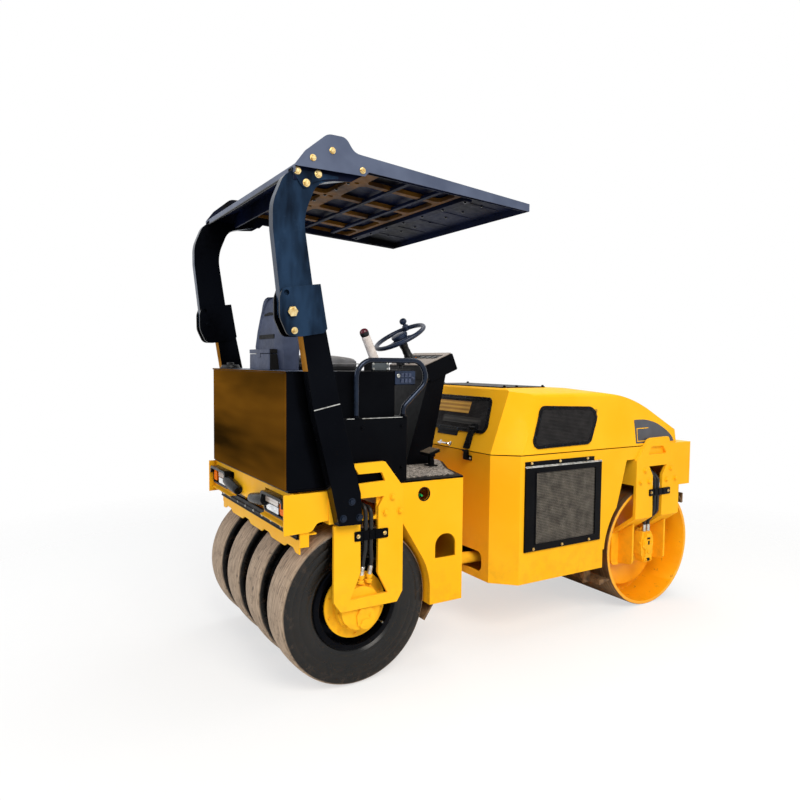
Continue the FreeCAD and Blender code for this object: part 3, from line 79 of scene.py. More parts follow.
# camera, at the angle the roller is usually shown from
cameraSet = {
    "place": (-2.586, -3.456, 1.610),
    "yaw": 58.597,
    "pitch": -3.218,
    "roll": 0.575,
    "lens": 29.85,
}
cameraData = bpy.data.cameras.new("viewCamera")
cameraData.lens = cameraSet["lens"]
cameraData.sensor_width = 36
camera = bpy.data.objects.new("viewCamera", cameraData)
scene.collection.objects.link(camera)
yaw, pitch = math.radians(cameraSet["yaw"]), math.radians(cameraSet["pitch"])
facing = Vector((math.cos(pitch) * math.cos(yaw), math.cos(pitch) * math.sin(yaw), math.sin(pitch)))
camera.rotation_mode = "QUATERNION"
camera.location = cameraSet["place"]
camera.rotation_quaternion = facing.to_track_quat("-Z", "Y") @ Quaternion(
    (0, 0, 1), math.radians(cameraSet["roll"])
)
scene.camera = camera
print("camera set")

# materials


def linear(text):  # an sRGB hex colour as linear light
    values = [int(text[i:i + 2], 16) / 255 for i in (1, 3, 5)]
    return tuple([
        c / 12.92 if c <= 0.04045 else ((c + 0.055) / 1.055) ** 2.4 for c in values
    ] + [1.0])


def per(size):  # a noise scale from the size of its grain in millimetres
    return 1 / (size * mm)


nodeKinds = {  # short words for the nodes used most, each with its settings
    "span": ("ShaderNodeMapRange", {"clamp": True}),
    "noise": ("ShaderNodeTexNoise", {}),
    "blend": ("ShaderNodeMix", {"data_type": "RGBA"}),
    "between": ("ShaderNodeMix", {"data_type": "FLOAT"}),
    "axes": ("ShaderNodeSeparateXYZ", {}),
    "vector": ("ShaderNodeCombineXYZ", {}),
    "bump": ("ShaderNodeBump", {}),
    "coordinates": ("ShaderNodeTexCoord", {}),
    "lightPath": ("ShaderNodeLightPath", {}),
    "mixShader": ("ShaderNodeMixShader", {}),
}
for word in ("add", "subtract", "multiply", "divide", "power", "sine", "arctan2", "maximum"):
    nodeKinds[word] = ("ShaderNodeMath", {"operation": word.upper()})


def feed(made, values):
    # sets or links a node's inputs, by name or by their order; another node gives its first
    # output, and a hex colour is turned to linear light
    live = [socket for socket in made.inputs if socket.enabled]
    for key, value in values.items():
        socket = live[key] if isinstance(key, int) else made.inputs[key]
        if isinstance(value, bpy.types.Node):
            value = next(out for out in value.outputs if out.enabled)
        if isinstance(value, bpy.types.NodeSocket):
            made.id_data.links.new(value, socket)
        else:
            isColour = isinstance(value, str) and value.startswith("#")
            socket.default_value = linear(value) if isColour else value


def addNode(tree, kind, *inputs, **settings):
    kind, usual = nodeKinds.get(kind, (kind, {}))
    made = tree.nodes.new(kind)
    for name, value in {**usual, **settings}.items():
        setattr(made, name, value)
    named = inputs and isinstance(inputs[0], dict)
    feed(made, inputs[0] if named else dict(enumerate(inputs)))
    return made


def startMaterial(name):
    material = bpy.data.materials.new(name)
    material.use_nodes = True
    material.node_tree.nodes.clear()
    node = partial(addNode, material.node_tree)
    shader = node("ShaderNodeBsdfPrincipled")
    node("ShaderNodeOutputMaterial", {"Surface": shader})
    return material, node, shader, node("coordinates").outputs["Object"]


def blotches(node, place, size, low, high, *ends, detail=4, rough=0.55):
    # soft patches about size millimetres across, from 0 to 1 or between the two ends
    return node("span", node("noise", place, per(size), detail, rough), low, high, *ends)


def heightOver(node, place, low, high):  # how far up the machine a point is, 0 at low and 1 at high
    z = node("axes", place).outputs[2]
    return node("span", z, low * mm, high * mm)


def facingUp(node):  # 1 on surfaces that face the sky, where dust settles
    normal = node("coordinates").outputs["Normal"]
    z = node("axes", normal).outputs[2]
    return node("span", z, 0.6, 0.95)


enamelBase = {  # what a sprayed enamel has unless its recipe says otherwise; sizes in millimetres
    "drift": 300, "stretch": (1, 1, 1), "dirt": "#1C1815", "dirtShare": 0.2, "dirtTop": 900,
    "dust": "#4A5060", "dustShare": 0.1, "coat": 0.0, "peel": 12, "peelDepth": 0.05, "level": 0.5,
    "sheen": "#FFFFFF",
}


def sprayedEnamel(name, recipe):
    # alkyd enamel sprayed on steel plate: deep gloss with a faint orange peel,
    # a slow drift in tone between panels, and road dust low down and on top faces
    recipe = {**enamelBase, **recipe}
    material, node, shader, place = startMaterial(name)
    drawn = node("ShaderNodeMapping", {"Vector": place, "Scale": recipe["stretch"]})
    tone = node("span", node("noise", drawn, per(recipe["drift"]), 3, 0.55), 0.35, 0.65)
    colour = node("blend", tone, recipe["colour"], recipe["second"])
    low = node("span", heightOver(node, place, 150, recipe["dirtTop"]), 0, 1, 1, 0)
    patches = blotches(node, place, 60, 0.44, 0.66, detail=5, rough=0.62)
    dirt = node("multiply", node("multiply", low, patches), recipe["dirtShare"])
    settled = blotches(node, place, 90, 0.3, 0.7)
    dust = node("multiply", node("multiply", facingUp(node), settled), recipe["dustShare"])
    colour = node("blend", dirt, colour, recipe["dirt"])
    gloss = blotches(node, place, 35, 0.3, 0.7, *recipe["rough"])
    worn = node("multiply", node("add", dirt, dust), 0.5)
    feed(shader, {
        "Base Color": node("blend", dust, colour, recipe["dust"]),
        "Roughness": node("add", gloss, worn),
        "IOR": 1.5,
        "Specular IOR Level": recipe["level"],
        "Specular Tint": recipe["sheen"],
        "Coat Weight": recipe["coat"],
        "Coat Roughness": 0.08,
        "Normal": node("bump", {"Height": node("noise", place, per(recipe["peel"]), 2, 0.55),
            "Distance": recipe["peelDepth"] * mm}),
    })
    return material


yellowEnamel = sprayedEnamel("yellowSprayedEnamel", {
    "colour": "#FFBE26", "second": "#FDB61A", "drift": 420, "dirt": "#7A5A2C", "dust": "#D9B878",
    "dirtShare": 0.3, "dirtTop": 650, "dustShare": 0.08, "rough": (0.32, 0.44), "coat": 0.015,
    "peel": 9, "peelDepth": 0.08, "level": 0.1, "sheen": "#FFD070",
})
# black paint, flatted and sprayed once: its gloss keeps little of the light that falls on it
blackEnamel = sprayedEnamel("blackSprayedEnamel", {
    "colour": "#030304", "second": "#07080B", "dust": "#3C3A37", "dustShare": 0.03,
    "rough": (0.16, 0.28), "sheen": "#59657E", "level": 0.22,
})
paintedSkyBlueBlack = sprayedEnamel("blueBlackSprayedEnamel", {  # black enamel on outer faces high up: its blue-slate patches are a painted sky reflection
    "colour": "#04070C", "second": "#22364E", "drift": 150, "stretch": (1.6, 1, 0.45),
    "rough": (0.16, 0.3), "sheen": "#6F86B4", "level": 0.25,
})
ochreEnamel = sprayedEnamel("ochreEnamel", {  # legs' rear faces: ochre in the black paint is a painted warm reflection
    "colour": "#8A5A1C", "second": "#B27B33", "drift": 120, "dustShare": 0.05, "rough": (0.4, 0.55),
    "level": 0.0,
})
railEnamel = sprayedEnamel("railEnamel", {  # handled bare-smooth, so it shines more than the sheet
    "colour": "#05080D", "second": "#101A28", "drift": 90, "dirtShare": 0.1, "dustShare": 0.05,
    "rough": (0.1, 0.2), "peelDepth": 0.03, "sheen": "#A8B8DC",
})
paintedSkySlate = sprayedEnamel("slateSprayedEnamel", {  # outer edges of the roof and the tank's top: pale slate in the black paint is a painted sky reflection
    "colour": "#4A5266", "second": "#5B6479", "drift": 240, "dirt": "#2A2C33", "dust": "#7A8090",
    "rough": (0.3, 0.42), "peelDepth": 0.06, "sheen": "#8F9FC4", "level": 0.35,
})
paintedUmberReflection = sprayedEnamel("umberBlackSprayedEnamel", {  # tank's rear face: umber bands in the black paint are a painted warm reflection
    "colour": "#2C1C06", "second": "#7C5014", "stretch": (0.16, 0.16, 1), "dust": "#3C3A37",
    "dirtTop": 1150, "dustShare": 0.03, "rough": (0.3, 0.4), "level": 0.0,
})
satinBlack = sprayedEnamel("satinBlackEnamel", {
    "colour": "#040405", "second": "#08090B", "drift": 260, "dirt": "#1F1A16", "dust": "#5A554F",
    "dirtShare": 0.25, "dirtTop": 1100, "dustShare": 0.12, "rough": (0.36, 0.52), "peel": 7,
    "peelDepth": 0.08, "sheen": "#4E5874", "level": 0.15,
})


metalBase = {"metal": 1.0, "patch": 30, "pit": 6, "pitDepth": 0.05}


def bareMetal(name, recipe):
    # steel as it leaves the shop: plated, turned or rolled, with a little tarnish
    recipe = {**metalBase, **recipe}
    material, node, shader, place = startMaterial(name)
    tone = blotches(node, place, recipe["patch"], 0.35, 0.68)
    feed(shader, {
        "Base Color": node("blend", tone, recipe["colour"], recipe["tarnish"]),
        "Roughness": blotches(node, place, 14, 0.3, 0.7, *recipe["rough"], detail=3),
        "Metallic": recipe["metal"],
        "Normal": node("bump", {"Height": node("noise", place, per(recipe["pit"]), 3, 0.55),
            "Distance": recipe["pitDepth"] * mm}),
    })
    return material


yellowZinc = bareMetal("yellowPassivatedZinc", {  # gold sheen of passivated bolts
    "colour": "#EAD7A2", "tarnish": "#B08C4A", "patch": 14, "rough": (0.25, 0.42), "pit": 5,
})
brightZinc = bareMetal("brightZincPlate", {  # cool grey of plated ferrules and screws
    "colour": "#D5D6D2", "tarnish": "#9C9B95", "patch": 20, "rough": (0.22, 0.4),
})
hardChrome = bareMetal("hardChrome", {  # mirror of a ground and plated rod
    "colour": "#DADCDE", "tarnish": "#C4C6C9", "patch": 60, "rough": (0.06, 0.12), "pit": 20,
    "pitDepth": 0.01,
})
rustedSteel = bareMetal("rustedScraperSteel", {  # flame-cut bar left bare and rusting
    "colour": "#8A6B48", "tarnish": "#4B3728", "patch": 38, "rough": (0.5, 0.75), "metal": 0.45,
    "pit": 9, "pitDepth": 0.5,
})
castIron = bareMetal("primedCastIron", {  # sand-cast block under grey primer
    "colour": "#3B3D3F", "tarnish": "#2A2927", "patch": 50, "rough": (0.55, 0.75), "metal": 0.2,
    "pit": 7, "pitDepth": 0.5,
})


plasticBase = {"patch": 60, "dustShare": 0.1, "grain": 3, "grainDepth": 0.1, "level": 0.3}


def mouldedPlastic(name, recipe):
    # injection-moulded part with a spark-eroded grain, drawn coarse enough to show
    recipe = {**plasticBase, **recipe}
    material, node, shader, place = startMaterial(name)
    tone = blotches(node, place, recipe["patch"], 0.35, 0.7)
    colour = node("blend", tone, recipe["colour"], recipe["second"])
    dust = node("multiply", facingUp(node), recipe["dustShare"])
    feed(shader, {
        "Base Color": node("blend", dust, colour, recipe["dust"]),
        "Roughness": blotches(node, place, 20, 0.3, 0.7, *recipe["rough"], detail=3),
        "IOR": 1.49,
        "Specular IOR Level": recipe["level"],
        "Normal": node("bump", {"Height": node("noise", place, per(recipe["grain"]), 2, 0.55),
            "Distance": recipe["grainDepth"] * mm}),
    })
    return material


blackPlastic = mouldedPlastic("blackMouldedPlastic", {
    "colour": "#060709", "second": "#0D0F13", "patch": 80, "dust": "#4A4743", "rough": (0.35, 0.5),
    "grainDepth": 0.12,
})
wheelPlastic = mouldedPlastic("steeringWheelPolyurethane", {  # blue-black self-skinned foam
    "colour": "#141F33", "second": "#22304A", "dust": "#6A6D72", "dustShare": 0.12,
    "rough": (0.3, 0.42), "grainDepth": 0.08,
})
seatShell = mouldedPlastic("seatShellPolypropylene", {  # grey-blue moulded back of the seat
    "colour": "#333B50", "second": "#48516A", "patch": 120, "dust": "#8A8A8C", "dustShare": 0.15,
    "rough": (0.42, 0.56), "grainDepth": 0.15,
})
greyPlastic = mouldedPlastic("greyAbs", {
    "colour": "#4A5156", "second": "#5A6165", "dust": "#A09C94", "dustShare": 0.2,
    "rough": (0.4, 0.55),
})
maroonPlastic = mouldedPlastic("maroonPhenolic", {
    "colour": "#4A0F1E", "second": "#5C1526", "patch": 30, "dust": "#7A4A50", "dustShare": 0.05,
    "rough": (0.12, 0.2), "grain": 8, "grainDepth": 0.02,
})
whiteVinyl = mouldedPlastic("whiteVinylGaiter", {  # dip-moulded lever boot, a little grubby
    "colour": "#E6DFDA", "second": "#C9BDB6", "patch": 34, "dust": "#B8AFA6", "dustShare": 0.2,
    "rough": (0.38, 0.52), "grain": 4, "grainDepth": 0.15,
})
dashTop = mouldedPlastic("greyTanDashCover", {  # sun-faded vacuum-formed cover
    "colour": "#8A8078", "second": "#A0958B", "patch": 90, "dust": "#B9AEA4", "dustShare": 0.6,
    "rough": (0.5, 0.65), "grain": 4, "grainDepth": 0.2,
})
greenPlastic = mouldedPlastic("greenIndicatorCap", {
    "colour": "#0B9A4A", "second": "#12B058", "patch": 20, "dust": "#4AB57C", "dustShare": 0.05,
    "rough": (0.2, 0.3), "grain": 6, "grainDepth": 0.02,
})
hoseRubber = mouldedPlastic("braidedHoseRubber", {  # wrapped cover, matt with a faint sheen
    "colour": "#131416", "second": "#1C1D1F", "patch": 40, "dust": "#57534E", "rough": (0.36, 0.5),
    "grain": 4, "grainDepth": 0.3,
})
gasketRubber = mouldedPlastic("epdmGasket", {  # extruded window rubber, glossy where it bends
    "colour": "#08090B", "second": "#101114", "dust": "#3A3833", "rough": (0.2, 0.34), "grain": 10,
    "grainDepth": 0.05, "level": 0.12,
})


def wheelFrame(node, place, centreX, centreZ):
    # distance from an axle, and the angle round it, for what turns with a wheel or drum
    axes = node("axes", place)
    x = node("subtract", axes.outputs[0], centreX * mm)
    z = node("subtract", axes.outputs[2], centreZ * mm)
    radius = node("power", node("add", node("multiply", x, x), node("multiply", z, z)), 0.5)
    angle = node("arctan2", z, x)
    return radius, angle, axes.outputs[1]


def alongAndAcross(node, angle, across, reach, alongSize, acrossSize):
    # stretches a pattern round the rolling face: long streaks along it, fine ones across
    length = node("multiply", angle, reach * mm * per(alongSize))
    width = node("multiply", across, per(acrossSize))
    return node("vector", length, width)


def tyreRubber():
    # vulcanised carbon-black rubber: sidewalls still shiny from the mould,
    # rolling face ground dull and coated with pale dust in streaks
    material, node, shader, place = startMaterial("tyreRubber")
    radius, angle, across = wheelFrame(node, place, rearX, tyreZ)
    streaks = node("noise", alongAndAcross(node, angle, across, 403, 90, 9), 1.0, 5.0, 0.6)
    dusty = node("blend", node("span", streaks, 0.34, 0.62), "#8B7763", "#BBA48C")
    spots = blotches(node, place, 26, 0.56, 0.66, detail=5, rough=0.65)
    dusty = node("blend", node("multiply", spots, 0.7), dusty, "#4A4038")
    sooty = blotches(node, place, 110, 0.35, 0.75)
    side = node("blend", sooty, "#030304", "#090909")
    edge = node("multiply", node("span", radius, 386 * mm, 394 * mm),
        node("span", streaks, 0.25, 0.5, 0.55, 1))
    worn = node("multiply", node("span", radius, 300 * mm, 386 * mm, 0.03, 0.5),
        blotches(node, place, 34, 0.5, 0.74, detail=6, rough=0.7))
    colour = node("blend", worn, side, "#4E3F33")
    feed(shader, {"Base Color": node("blend", edge, colour, dusty)})
    gloss = blotches(node, place, 60, 0.3, 0.7, 0.16, 0.3)
    feed(shader, {
        "Roughness": node("between", edge, gloss, 0.85),
        "IOR": 1.52,
        "Specular IOR Level": 0.3,
    })
    rings = node("sine", node("multiply", radius, 2 * math.pi / (5 * mm)))
    quiet = node("multiply", rings, node("span", radius, 392 * mm, 388 * mm, 0, 0.25))
    feed(shader, {"Normal": node("bump", {"Height": node("add", quiet,
        node("multiply", streaks, edge)), "Distance": 0.7 * mm})})
    return material


def drumSteel():
    # rolled steel shell, bare and rust-stained where it rolls, enamelled inside its ends
    material, node, shader, place = startMaterial("rolledDrumSteel")
    radius, angle, across = wheelFrame(node, place, drumX, drumZ)
    streaks = node("noise", alongAndAcross(node, angle, across, 401, 160, 16), 1.0, 6.0, 0.62)
    steel = node("blend", node("span", streaks, 0.36, 0.64), "#54402A", "#95795A")
    steel = node("blend", blotches(node, place, 120, 0.45, 0.7, detail=5), steel, "#86501F")
    paint = node("blend", blotches(node, place, 300, 0.35, 0.65, detail=2), "#FDB40F", "#F9A908")
    scuffs = node("multiply", blotches(node, place, 44, 0.62, 0.7, detail=6, rough=0.66),
        node("span", radius, 300 * mm, 378 * mm, 0.25, 0.9))
    paint = node("blend", scuffs, paint, "#9A6A2C")
    ragged = node("add", radius, node("multiply", node("noise", place, per(22), 4, 0.55), 5 * mm))
    outside = node("span", ragged, 399 * mm, 401.5 * mm)
    feed(shader, {
        "Base Color": node("blend", outside, paint, steel),
        "Metallic": node("multiply", outside, 0.75),
    })
    worn = node("span", streaks, 0.3, 0.7, 0.38, 0.62)
    glossy = blotches(node, place, 40, 0.3, 0.7, 0.3, 0.45, detail=3)
    feed(shader, {
        "Roughness": node("between", outside, glossy, worn),
        "Normal": node("bump", {"Height": node("multiply", streaks, outside),
            "Distance": 0.5 * mm}),
    })
    return material


def speckledMat():
    # needled rubber-backed mat: grey crumb with pale and dark flecks, drawn 6 mm across to show
    material, node, shader, place = startMaterial("speckledRubberMat")
    flecks = node("ShaderNodeTexVoronoi", {"Vector": place, "Scale": per(7), "Randomness": 1.0})
    shade = node("axes", flecks.outputs["Color"])
    base = node("blend", blotches(node, place, 90, 0.35, 0.7), "#6F6862", "#8A8178")
    pale = node("blend", node("span", shade, 0.66, 0.72), base, "#B9B0A6")
    colour = node("blend", node("span", shade, 0.3, 0.24), pale, "#3A3532")
    feed(shader, {
        "Base Color": colour,
        "Roughness": 0.9,
        "Normal": node("bump", {"Height": node("add", shade,
            node("noise", place, per(5), 2, 0.55)), "Distance": 1.4 * mm}),
    })
    return material


def seatVinyl():
    # calendered PVC over foam: soft sheen, leather-like grain drawn 5 mm across, creased by use
    material, node, shader, place = startMaterial("seatVinyl")
    cells = node("ShaderNodeTexVoronoi", {"Vector": place, "Scale": per(5)},
        feature="DISTANCE_TO_EDGE")
    tone = blotches(node, place, 70, 0.35, 0.7)
    # grey tone: dark vinyl, lightened to carry a painted sheen
    colour = node("blend", tone, "#4C4D51", "#727377")
    # top faces paler: dust, and a painted sheen
    dust = node("multiply", facingUp(node), blotches(node, place, 50, 0.35, 0.7, 0.45, 1, detail=5))
    feed(shader, {
        "Base Color": node("blend", dust, colour, "#B8B5B3"),
        "Roughness": blotches(node, place, 30, 0.3, 0.7, 0.28, 0.46, detail=3),
        "IOR": 1.53,
        "Sheen Weight": 0.1,
    })
    creases = blotches(node, place, 46, 0.3, 0.7, 0, 1.6, rough=0.5)
    feed(shader, {"Normal": node("bump", {"Height": node("add",
        node("span", cells, 0, 0.12, 0, 0.4), creases), "Distance": 1.1 * mm})})
    return material


def ridges(node, along, pitch):  # even waves from 0 to 1, a pitch in millimetres apart
    return node("span", node("sine", node("multiply", along, 2 * math.pi / (pitch * mm))), -1, 1)


def radiatorCore(name, hexes, clear=0.0):
    # metal fins behind a screen, dark with road dirt, 9 mm apart to show
    material, node, shader, place = startMaterial(name)
    axes = node("axes", place)
    fins = ridges(node, axes.outputs[0], 9)
    core = node("blend", fins, hexes[0], hexes[1])
    clean = blotches(node, place, 180, 0.38, 0.62, clear, 1, detail=3)
    feed(shader, {
        "Base Color": node("blend", clean, "#23211F", core),
        "Roughness": 0.6,
        "Metallic": 0.3,
        "Normal": node("bump", {"Height": fins, "Distance": 1.5 * mm}),
    })
    return material


def screenWire(name, hexes):
    # wire cloth, galvanised or dipped black, weathered with a film of dust
    material, node, shader, place = startMaterial(name)
    tone = blotches(node, place, 60, 0.35, 0.7)
    feed(shader, {
        "Base Color": node("blend", tone, hexes[0], hexes[1]),
        "Metallic": 0.5,
        "Roughness": 0.5,
        "Normal": node("bump", {"Height": node("noise", place, per(12), 2, 0.55),
            "Distance": 0.2 * mm}),
    })
    return material


def lampPlastic(name, hexes, share, gloss):
    # moulded acrylic lens, ribbed inside to spread the light
    material, node, shader, place = startMaterial(name)
    axes = node("axes", place)
    ribs, rows = ridges(node, axes.outputs[1], 9), ridges(node, axes.outputs[2], 13)
    both = node("multiply", ribs, rows)
    feed(shader, {
        "Base Color": node("blend", both, hexes[0], hexes[1]),
        "Roughness": 0.08,
        "IOR": 1.49,
        "Specular IOR Level": gloss,
        "Transmission Weight": share,
        "Normal": node("bump", {"Height": both, "Distance": 0.5 * mm}),
    })
    return material


amberLens = lampPlastic("amberAcrylicLens", ("#F26200", "#FF9A14"), 0.0, 0.02)
clearLens = lampPlastic("clearAcrylicLens", ("#B9A594", "#E9DCCF"), 0.35, 0.15)
reflectorFoil = bareMetal("vacuumMetalledReflector", {  # bright inside of the lamp bowl
    "colour": "#F0F1F2", "tarnish": "#C9CBCE", "rough": (0.08, 0.2), "pit": 12, "pitDepth": 0.3,
})
decalGrey = sprayedEnamel("charcoalVinylDecal", {  # self-adhesive film, flatter than the enamel
    "colour": "#3A3B42", "second": "#44454C", "drift": 90, "dirt": "#4A4036", "dust": "#77726C",
    "dirtTop": 700, "rough": (0.3, 0.42), "coat": 0.1, "peel": 16, "peelDepth": 0.03,
})
liningEnamel = sprayedEnamel("roofLiningEnamel", {  # thin ochre inside coat of the roof stamping
    "colour": "#3A2410", "second": "#7A5218", "drift": 210, "dirt": "#2B2621", "dust": "#5A4A38",
    "dirtShare": 0.1, "dirtTop": 600, "rough": (0.5, 0.65), "level": 0.12,
})
underBlackPaintedSky = sprayedEnamel("roofUnderBlack", {  # inside of the roof sheet, black and flat, with patches of painted blue sky reflection
    "colour": "#040406", "second": "#101A38", "drift": 420, "dirt": "#2B2621", "dust": "#3A3D44",
    "dirtShare": 0.1, "dirtTop": 600, "dustShare": 0.05, "rough": (0.45, 0.6), "peelDepth": 0.03,
    "level": 0.05,
})
tyreSkin, drumSkin, matSkin, vinylSkin = tyreRubber(), drumSteel(), speckledMat(), seatVinyl()
coreFins = radiatorCore("radiatorFins", ("#1B1917", "#46423D"))
brassCore = radiatorCore("brassOilCooler", ("#B27F30", "#E0AC46"), 0.8)
wireCloth = screenWire("galvanisedWireCloth", ("#5F5A53", "#8A8378"))
darkWire = screenWire("blackWireCloth", ("#2E2C2D", "#464344"))
paintedShadeBlack = sprayedEnamel("blackBaffleSheet", {  # painted shade: a dull, dusty black sheet put behind the cloth, in holes and slots and on faces turned inward
    "colour": "#050505", "second": "#0C0B0B", "drift": 160, "dirt": "#1A1613", "dust": "#3A3631",
    "dirtShare": 0.3, "dirtTop": 1400, "dustShare": 0.2, "rough": (0.5, 0.7), "peel": 9,
    "peelDepth": 0.1, "level": 0.15,
})
print("materials ready")

# shapes, drawn in millimetres

upward, across, outward = (0, 0, 1), (0, 1, 0), (0, -1, 0)


def oblong(left, low, right, high, corner=0):  # an outline, each point with its corner radius
    return [(left, low, corner), (right, low, corner), (right, high, corner), (left, high, corner)]


def softCorners(corners, closed=True, steps=6):
    # each corner is (place, radius); returns the path with its corners rounded
    path = []
    for index, (here, radius) in enumerate(corners):
        ends = not closed and index in (0, len(corners) - 1)
        toLast = corners[index - 1][0] - here
        toNext = corners[(index + 1) % len(corners)][0] - here
        half = 0 if ends or radius <= 0 else toLast.angle(toNext) / 2
        if half == 0 or half > 1.55:
            path.append(here.copy())
            continue
        reach = min(radius / math.tan(half), toLast.length * 0.49, toNext.length * 0.49)
        size = reach * math.tan(half)
        inward = (toLast.normalized() + toNext.normalized()).normalized()
        centre = here + inward * (size / math.sin(half))
        first = here + toLast.normalized() * reach - centre
        final = here + toNext.normalized() * reach - centre
        for step in range(steps + 1):
            path.append(centre + first.lerp(final, step / steps).normalized() * size)
    return path


def circle(count, radius, start=0.0):  # (u, v) places round the origin
    turns = [2 * math.pi * (k + start) / count for k in range(count)]
    return [(radius * math.cos(turn), radius * math.sin(turn)) for turn in turns]


def flatOutline(outline, steps=6):
    return softCorners([
        (Vector((p[0], p[1])), p[2] if len(p) > 2 else 0) for p in outline
    ], True, steps)


def standing(plane, u, v, w):  # a drawn point (u, v) of a plane, w away from it
    return Vector({"XZ": (u, w, v), "YZ": (w, u, v), "XY": (u, v, w)}[plane])


def addPlate(shape, plane, near, far, outline, holes=(), finish=0):
    edges = []
    for loop in [outline, *holes]:
        points = [standing(plane, p.x, p.y, near) for p in flatOutline(loop)]
        verts = [shape.verts.new(p) for p in points]
        edges += [shape.edges.new((verts[i - 1], verts[i])) for i in range(len(verts))]
    if holes:
        made = bmesh.ops.triangle_fill(shape, use_beauty=True, use_dissolve=False, edges=edges)
        faces = [f for f in made["geom"] if isinstance(f, bmesh.types.BMFace)]
    else:
        faces = [shape.faces.new([e.verts[0] for e in edges])]
    raised = bmesh.ops.extrude_face_region(shape, geom=faces)["geom"]
    shift = standing(plane, 0, 0, far - near)
    for item in raised:
        if isinstance(item, bmesh.types.BMVert):
            item.co += shift
    for face in set(faces) | {
        f for item in raised if isinstance(item, bmesh.types.BMVert) for f in item.link_faces
    }:
        face.material_index = finish


def addBlock(shape, low, high, finish=0):
    outline = oblong(low[0], low[1], high[0], high[1])
    addPlate(shape, "XY", low[2], high[2], outline, (), finish)


def pointing(direction):  # the turn that takes the drawn axis, up, to a direction
    return Vector((0, 0, 1)).rotation_difference(Vector(direction)).to_matrix()


def addTurned(shape, profile, centre, direction=(0, 1, 0), steps=48, finish=0, ring=False):
    # profile is (distance along the axis, radius, finish from here on); ring closes it on itself
    turn = pointing(direction)
    loops = []
    for point in profile:
        along, radius = point[0], point[1]
        count = 1 if radius < 0.01 else steps
        loops.append([
            shape.verts.new(Vector(centre) + turn @ Vector((u, v, along)))
            for u, v in circle(steps, radius)[:count]
        ])
    pairs = list(zip(loops, loops[1:] + loops[:1]))
    kinds = [p[2] if len(p) > 2 else finish for p in profile]
    for index, (first, second) in enumerate(pairs if ring else pairs[:-1]):
        for k in range(steps):
            n = (k + 1) % steps
            corners = [first[k % len(first)], first[n % len(first)],
                       second[n % len(second)], second[k % len(second)]]
            corners = list(dict.fromkeys(corners))
            if len(corners) > 2:
                shape.faces.new(corners).material_index = kinds[index]
    if not ring:
        for end, kind in ((loops[0], kinds[0]), (loops[-1], kinds[-1])):
            if len(end) > 1:
                shape.faces.new(end).material_index = kind


def addTube(shape, path, radius, sides=12, finish=0, closed=False):
    up, rings = None, []
    count = len(path)
    for index, point in enumerate(path):
        if closed:
            along = (path[(index + 1) % count] - path[index - 1]).normalized()
        else:
            along = (path[min(index + 1, count - 1)] - path[max(index - 1, 0)]).normalized()
        up = along.orthogonal() if up is None else up - along * up.dot(along)
        up.normalize()
        side = along.cross(up)
        size = radius[index] if isinstance(radius, (list, tuple)) else radius
        rings.append([
            shape.verts.new(point + up * u + side * v) for u, v in circle(sides, size)
        ])
    pairs = list(zip(rings, rings[1:] + rings[:1]))
    for first, second in (pairs if closed else pairs[:-1]):
        for k in range(sides):
            n = (k + 1) % sides
            shape.faces.new((first[k], first[n], second[n], second[k])).material_index = finish
    if not closed:
        shape.faces.new(rings[0]).material_index = finish
        shape.faces.new(rings[-1]).material_index = finish


def addMirrored(shape):  # the same again on the other side of the machine
    copied = bmesh.ops.duplicate(shape, geom=shape.verts[:] + shape.edges[:] + shape.faces[:])
    for item in copied["geom"]:
        if isinstance(item, bmesh.types.BMVert):
            item.co.y = -item.co.y


def smoothShaded(mesh, angle=34):
    mesh.polygons.foreach_set("use_smooth", [True] * len(mesh.polygons))
    mesh.set_sharp_from_angle(angle=math.radians(angle))


def settled(piece, edge, angle=34):
    # rounds the piece's hard edges a little and keeps the result as its mesh
    if edge <= 0:
        return
    bevel = piece.modifiers.new("edges", "BEVEL")
    bevel.width = edge * mm
    bevel.segments = 3 if edge > 5 else 2
    bevel.limit_method = "ANGLE"
    bevel.angle_limit = math.radians(angle)
    bevel.harden_normals = True
    applyLive(piece)


def applyLive(piece):  # turns what the modifiers make into the piece's own mesh
    shown = piece.evaluated_get(bpy.context.evaluated_depsgraph_get())
    mesh = bpy.data.meshes.new_from_object(shown, preserve_all_data_layers=True,
                                           depsgraph=bpy.context.evaluated_depsgraph_get())
    piece.modifiers.clear()
    piece.data = mesh


def finishPiece(shape, name, body, slot, finishes, replaced=(), edge=0.0, angle=34):
    bmesh.ops.recalc_face_normals(shape, faces=shape.faces)
    bmesh.ops.scale(shape, vec=(mm, mm, mm), verts=shape.verts)
    return asPiece(shape, name, body, slot, finishes, replaced, edge, angle)


def asPiece(shape, name, body, slot, finishes, replaced, edge, angle):
    mesh = bpy.data.meshes.new(name)
    shape.to_mesh(mesh)
    shape.free()
    for finish in finishes:
        mesh.materials.append(finish)
    piece = bpy.data.objects.new(name, mesh)
    scene.collection.objects.link(piece)
    smoothShaded(mesh, angle)
    settled(piece, edge, angle)
    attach(piece, body)
    if replaced:
        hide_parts(*replaced)
    return piece


def makePiece(name, body, slot, finishes, strokes, edge=0.0, lay=None, both=False, replaced=(),
              angle=34):
    # a stroke is a maker, such as addTube, and what it is given, or a plate that starts with its
    # plane; lay does what needs more code, and both repeats it on the machine's other side
    shape = bmesh.new()
    for make, *given in strokes:
        if isinstance(make, str):
            make, given = addPlate, [make, *given]
        make(shape, *given)
    if lay:
        lay(shape)
    if both:
        addMirrored(shape)
    return finishPiece(shape, name, body, slot, finishes, replaced, edge, angle)


nodeBody = {
    node: body
    for body, nodes in frame["record"]["behaviour"]["bodies"].items() for node in nodes
}
nodeSlot = {row["node"]: row["material_slot"] for row in frame["record"]["subparts"]}


def like(node):  # the body and slot of a CAD node, for a piece that belongs to it
    return nodeBody[node], nodeSlot[node]


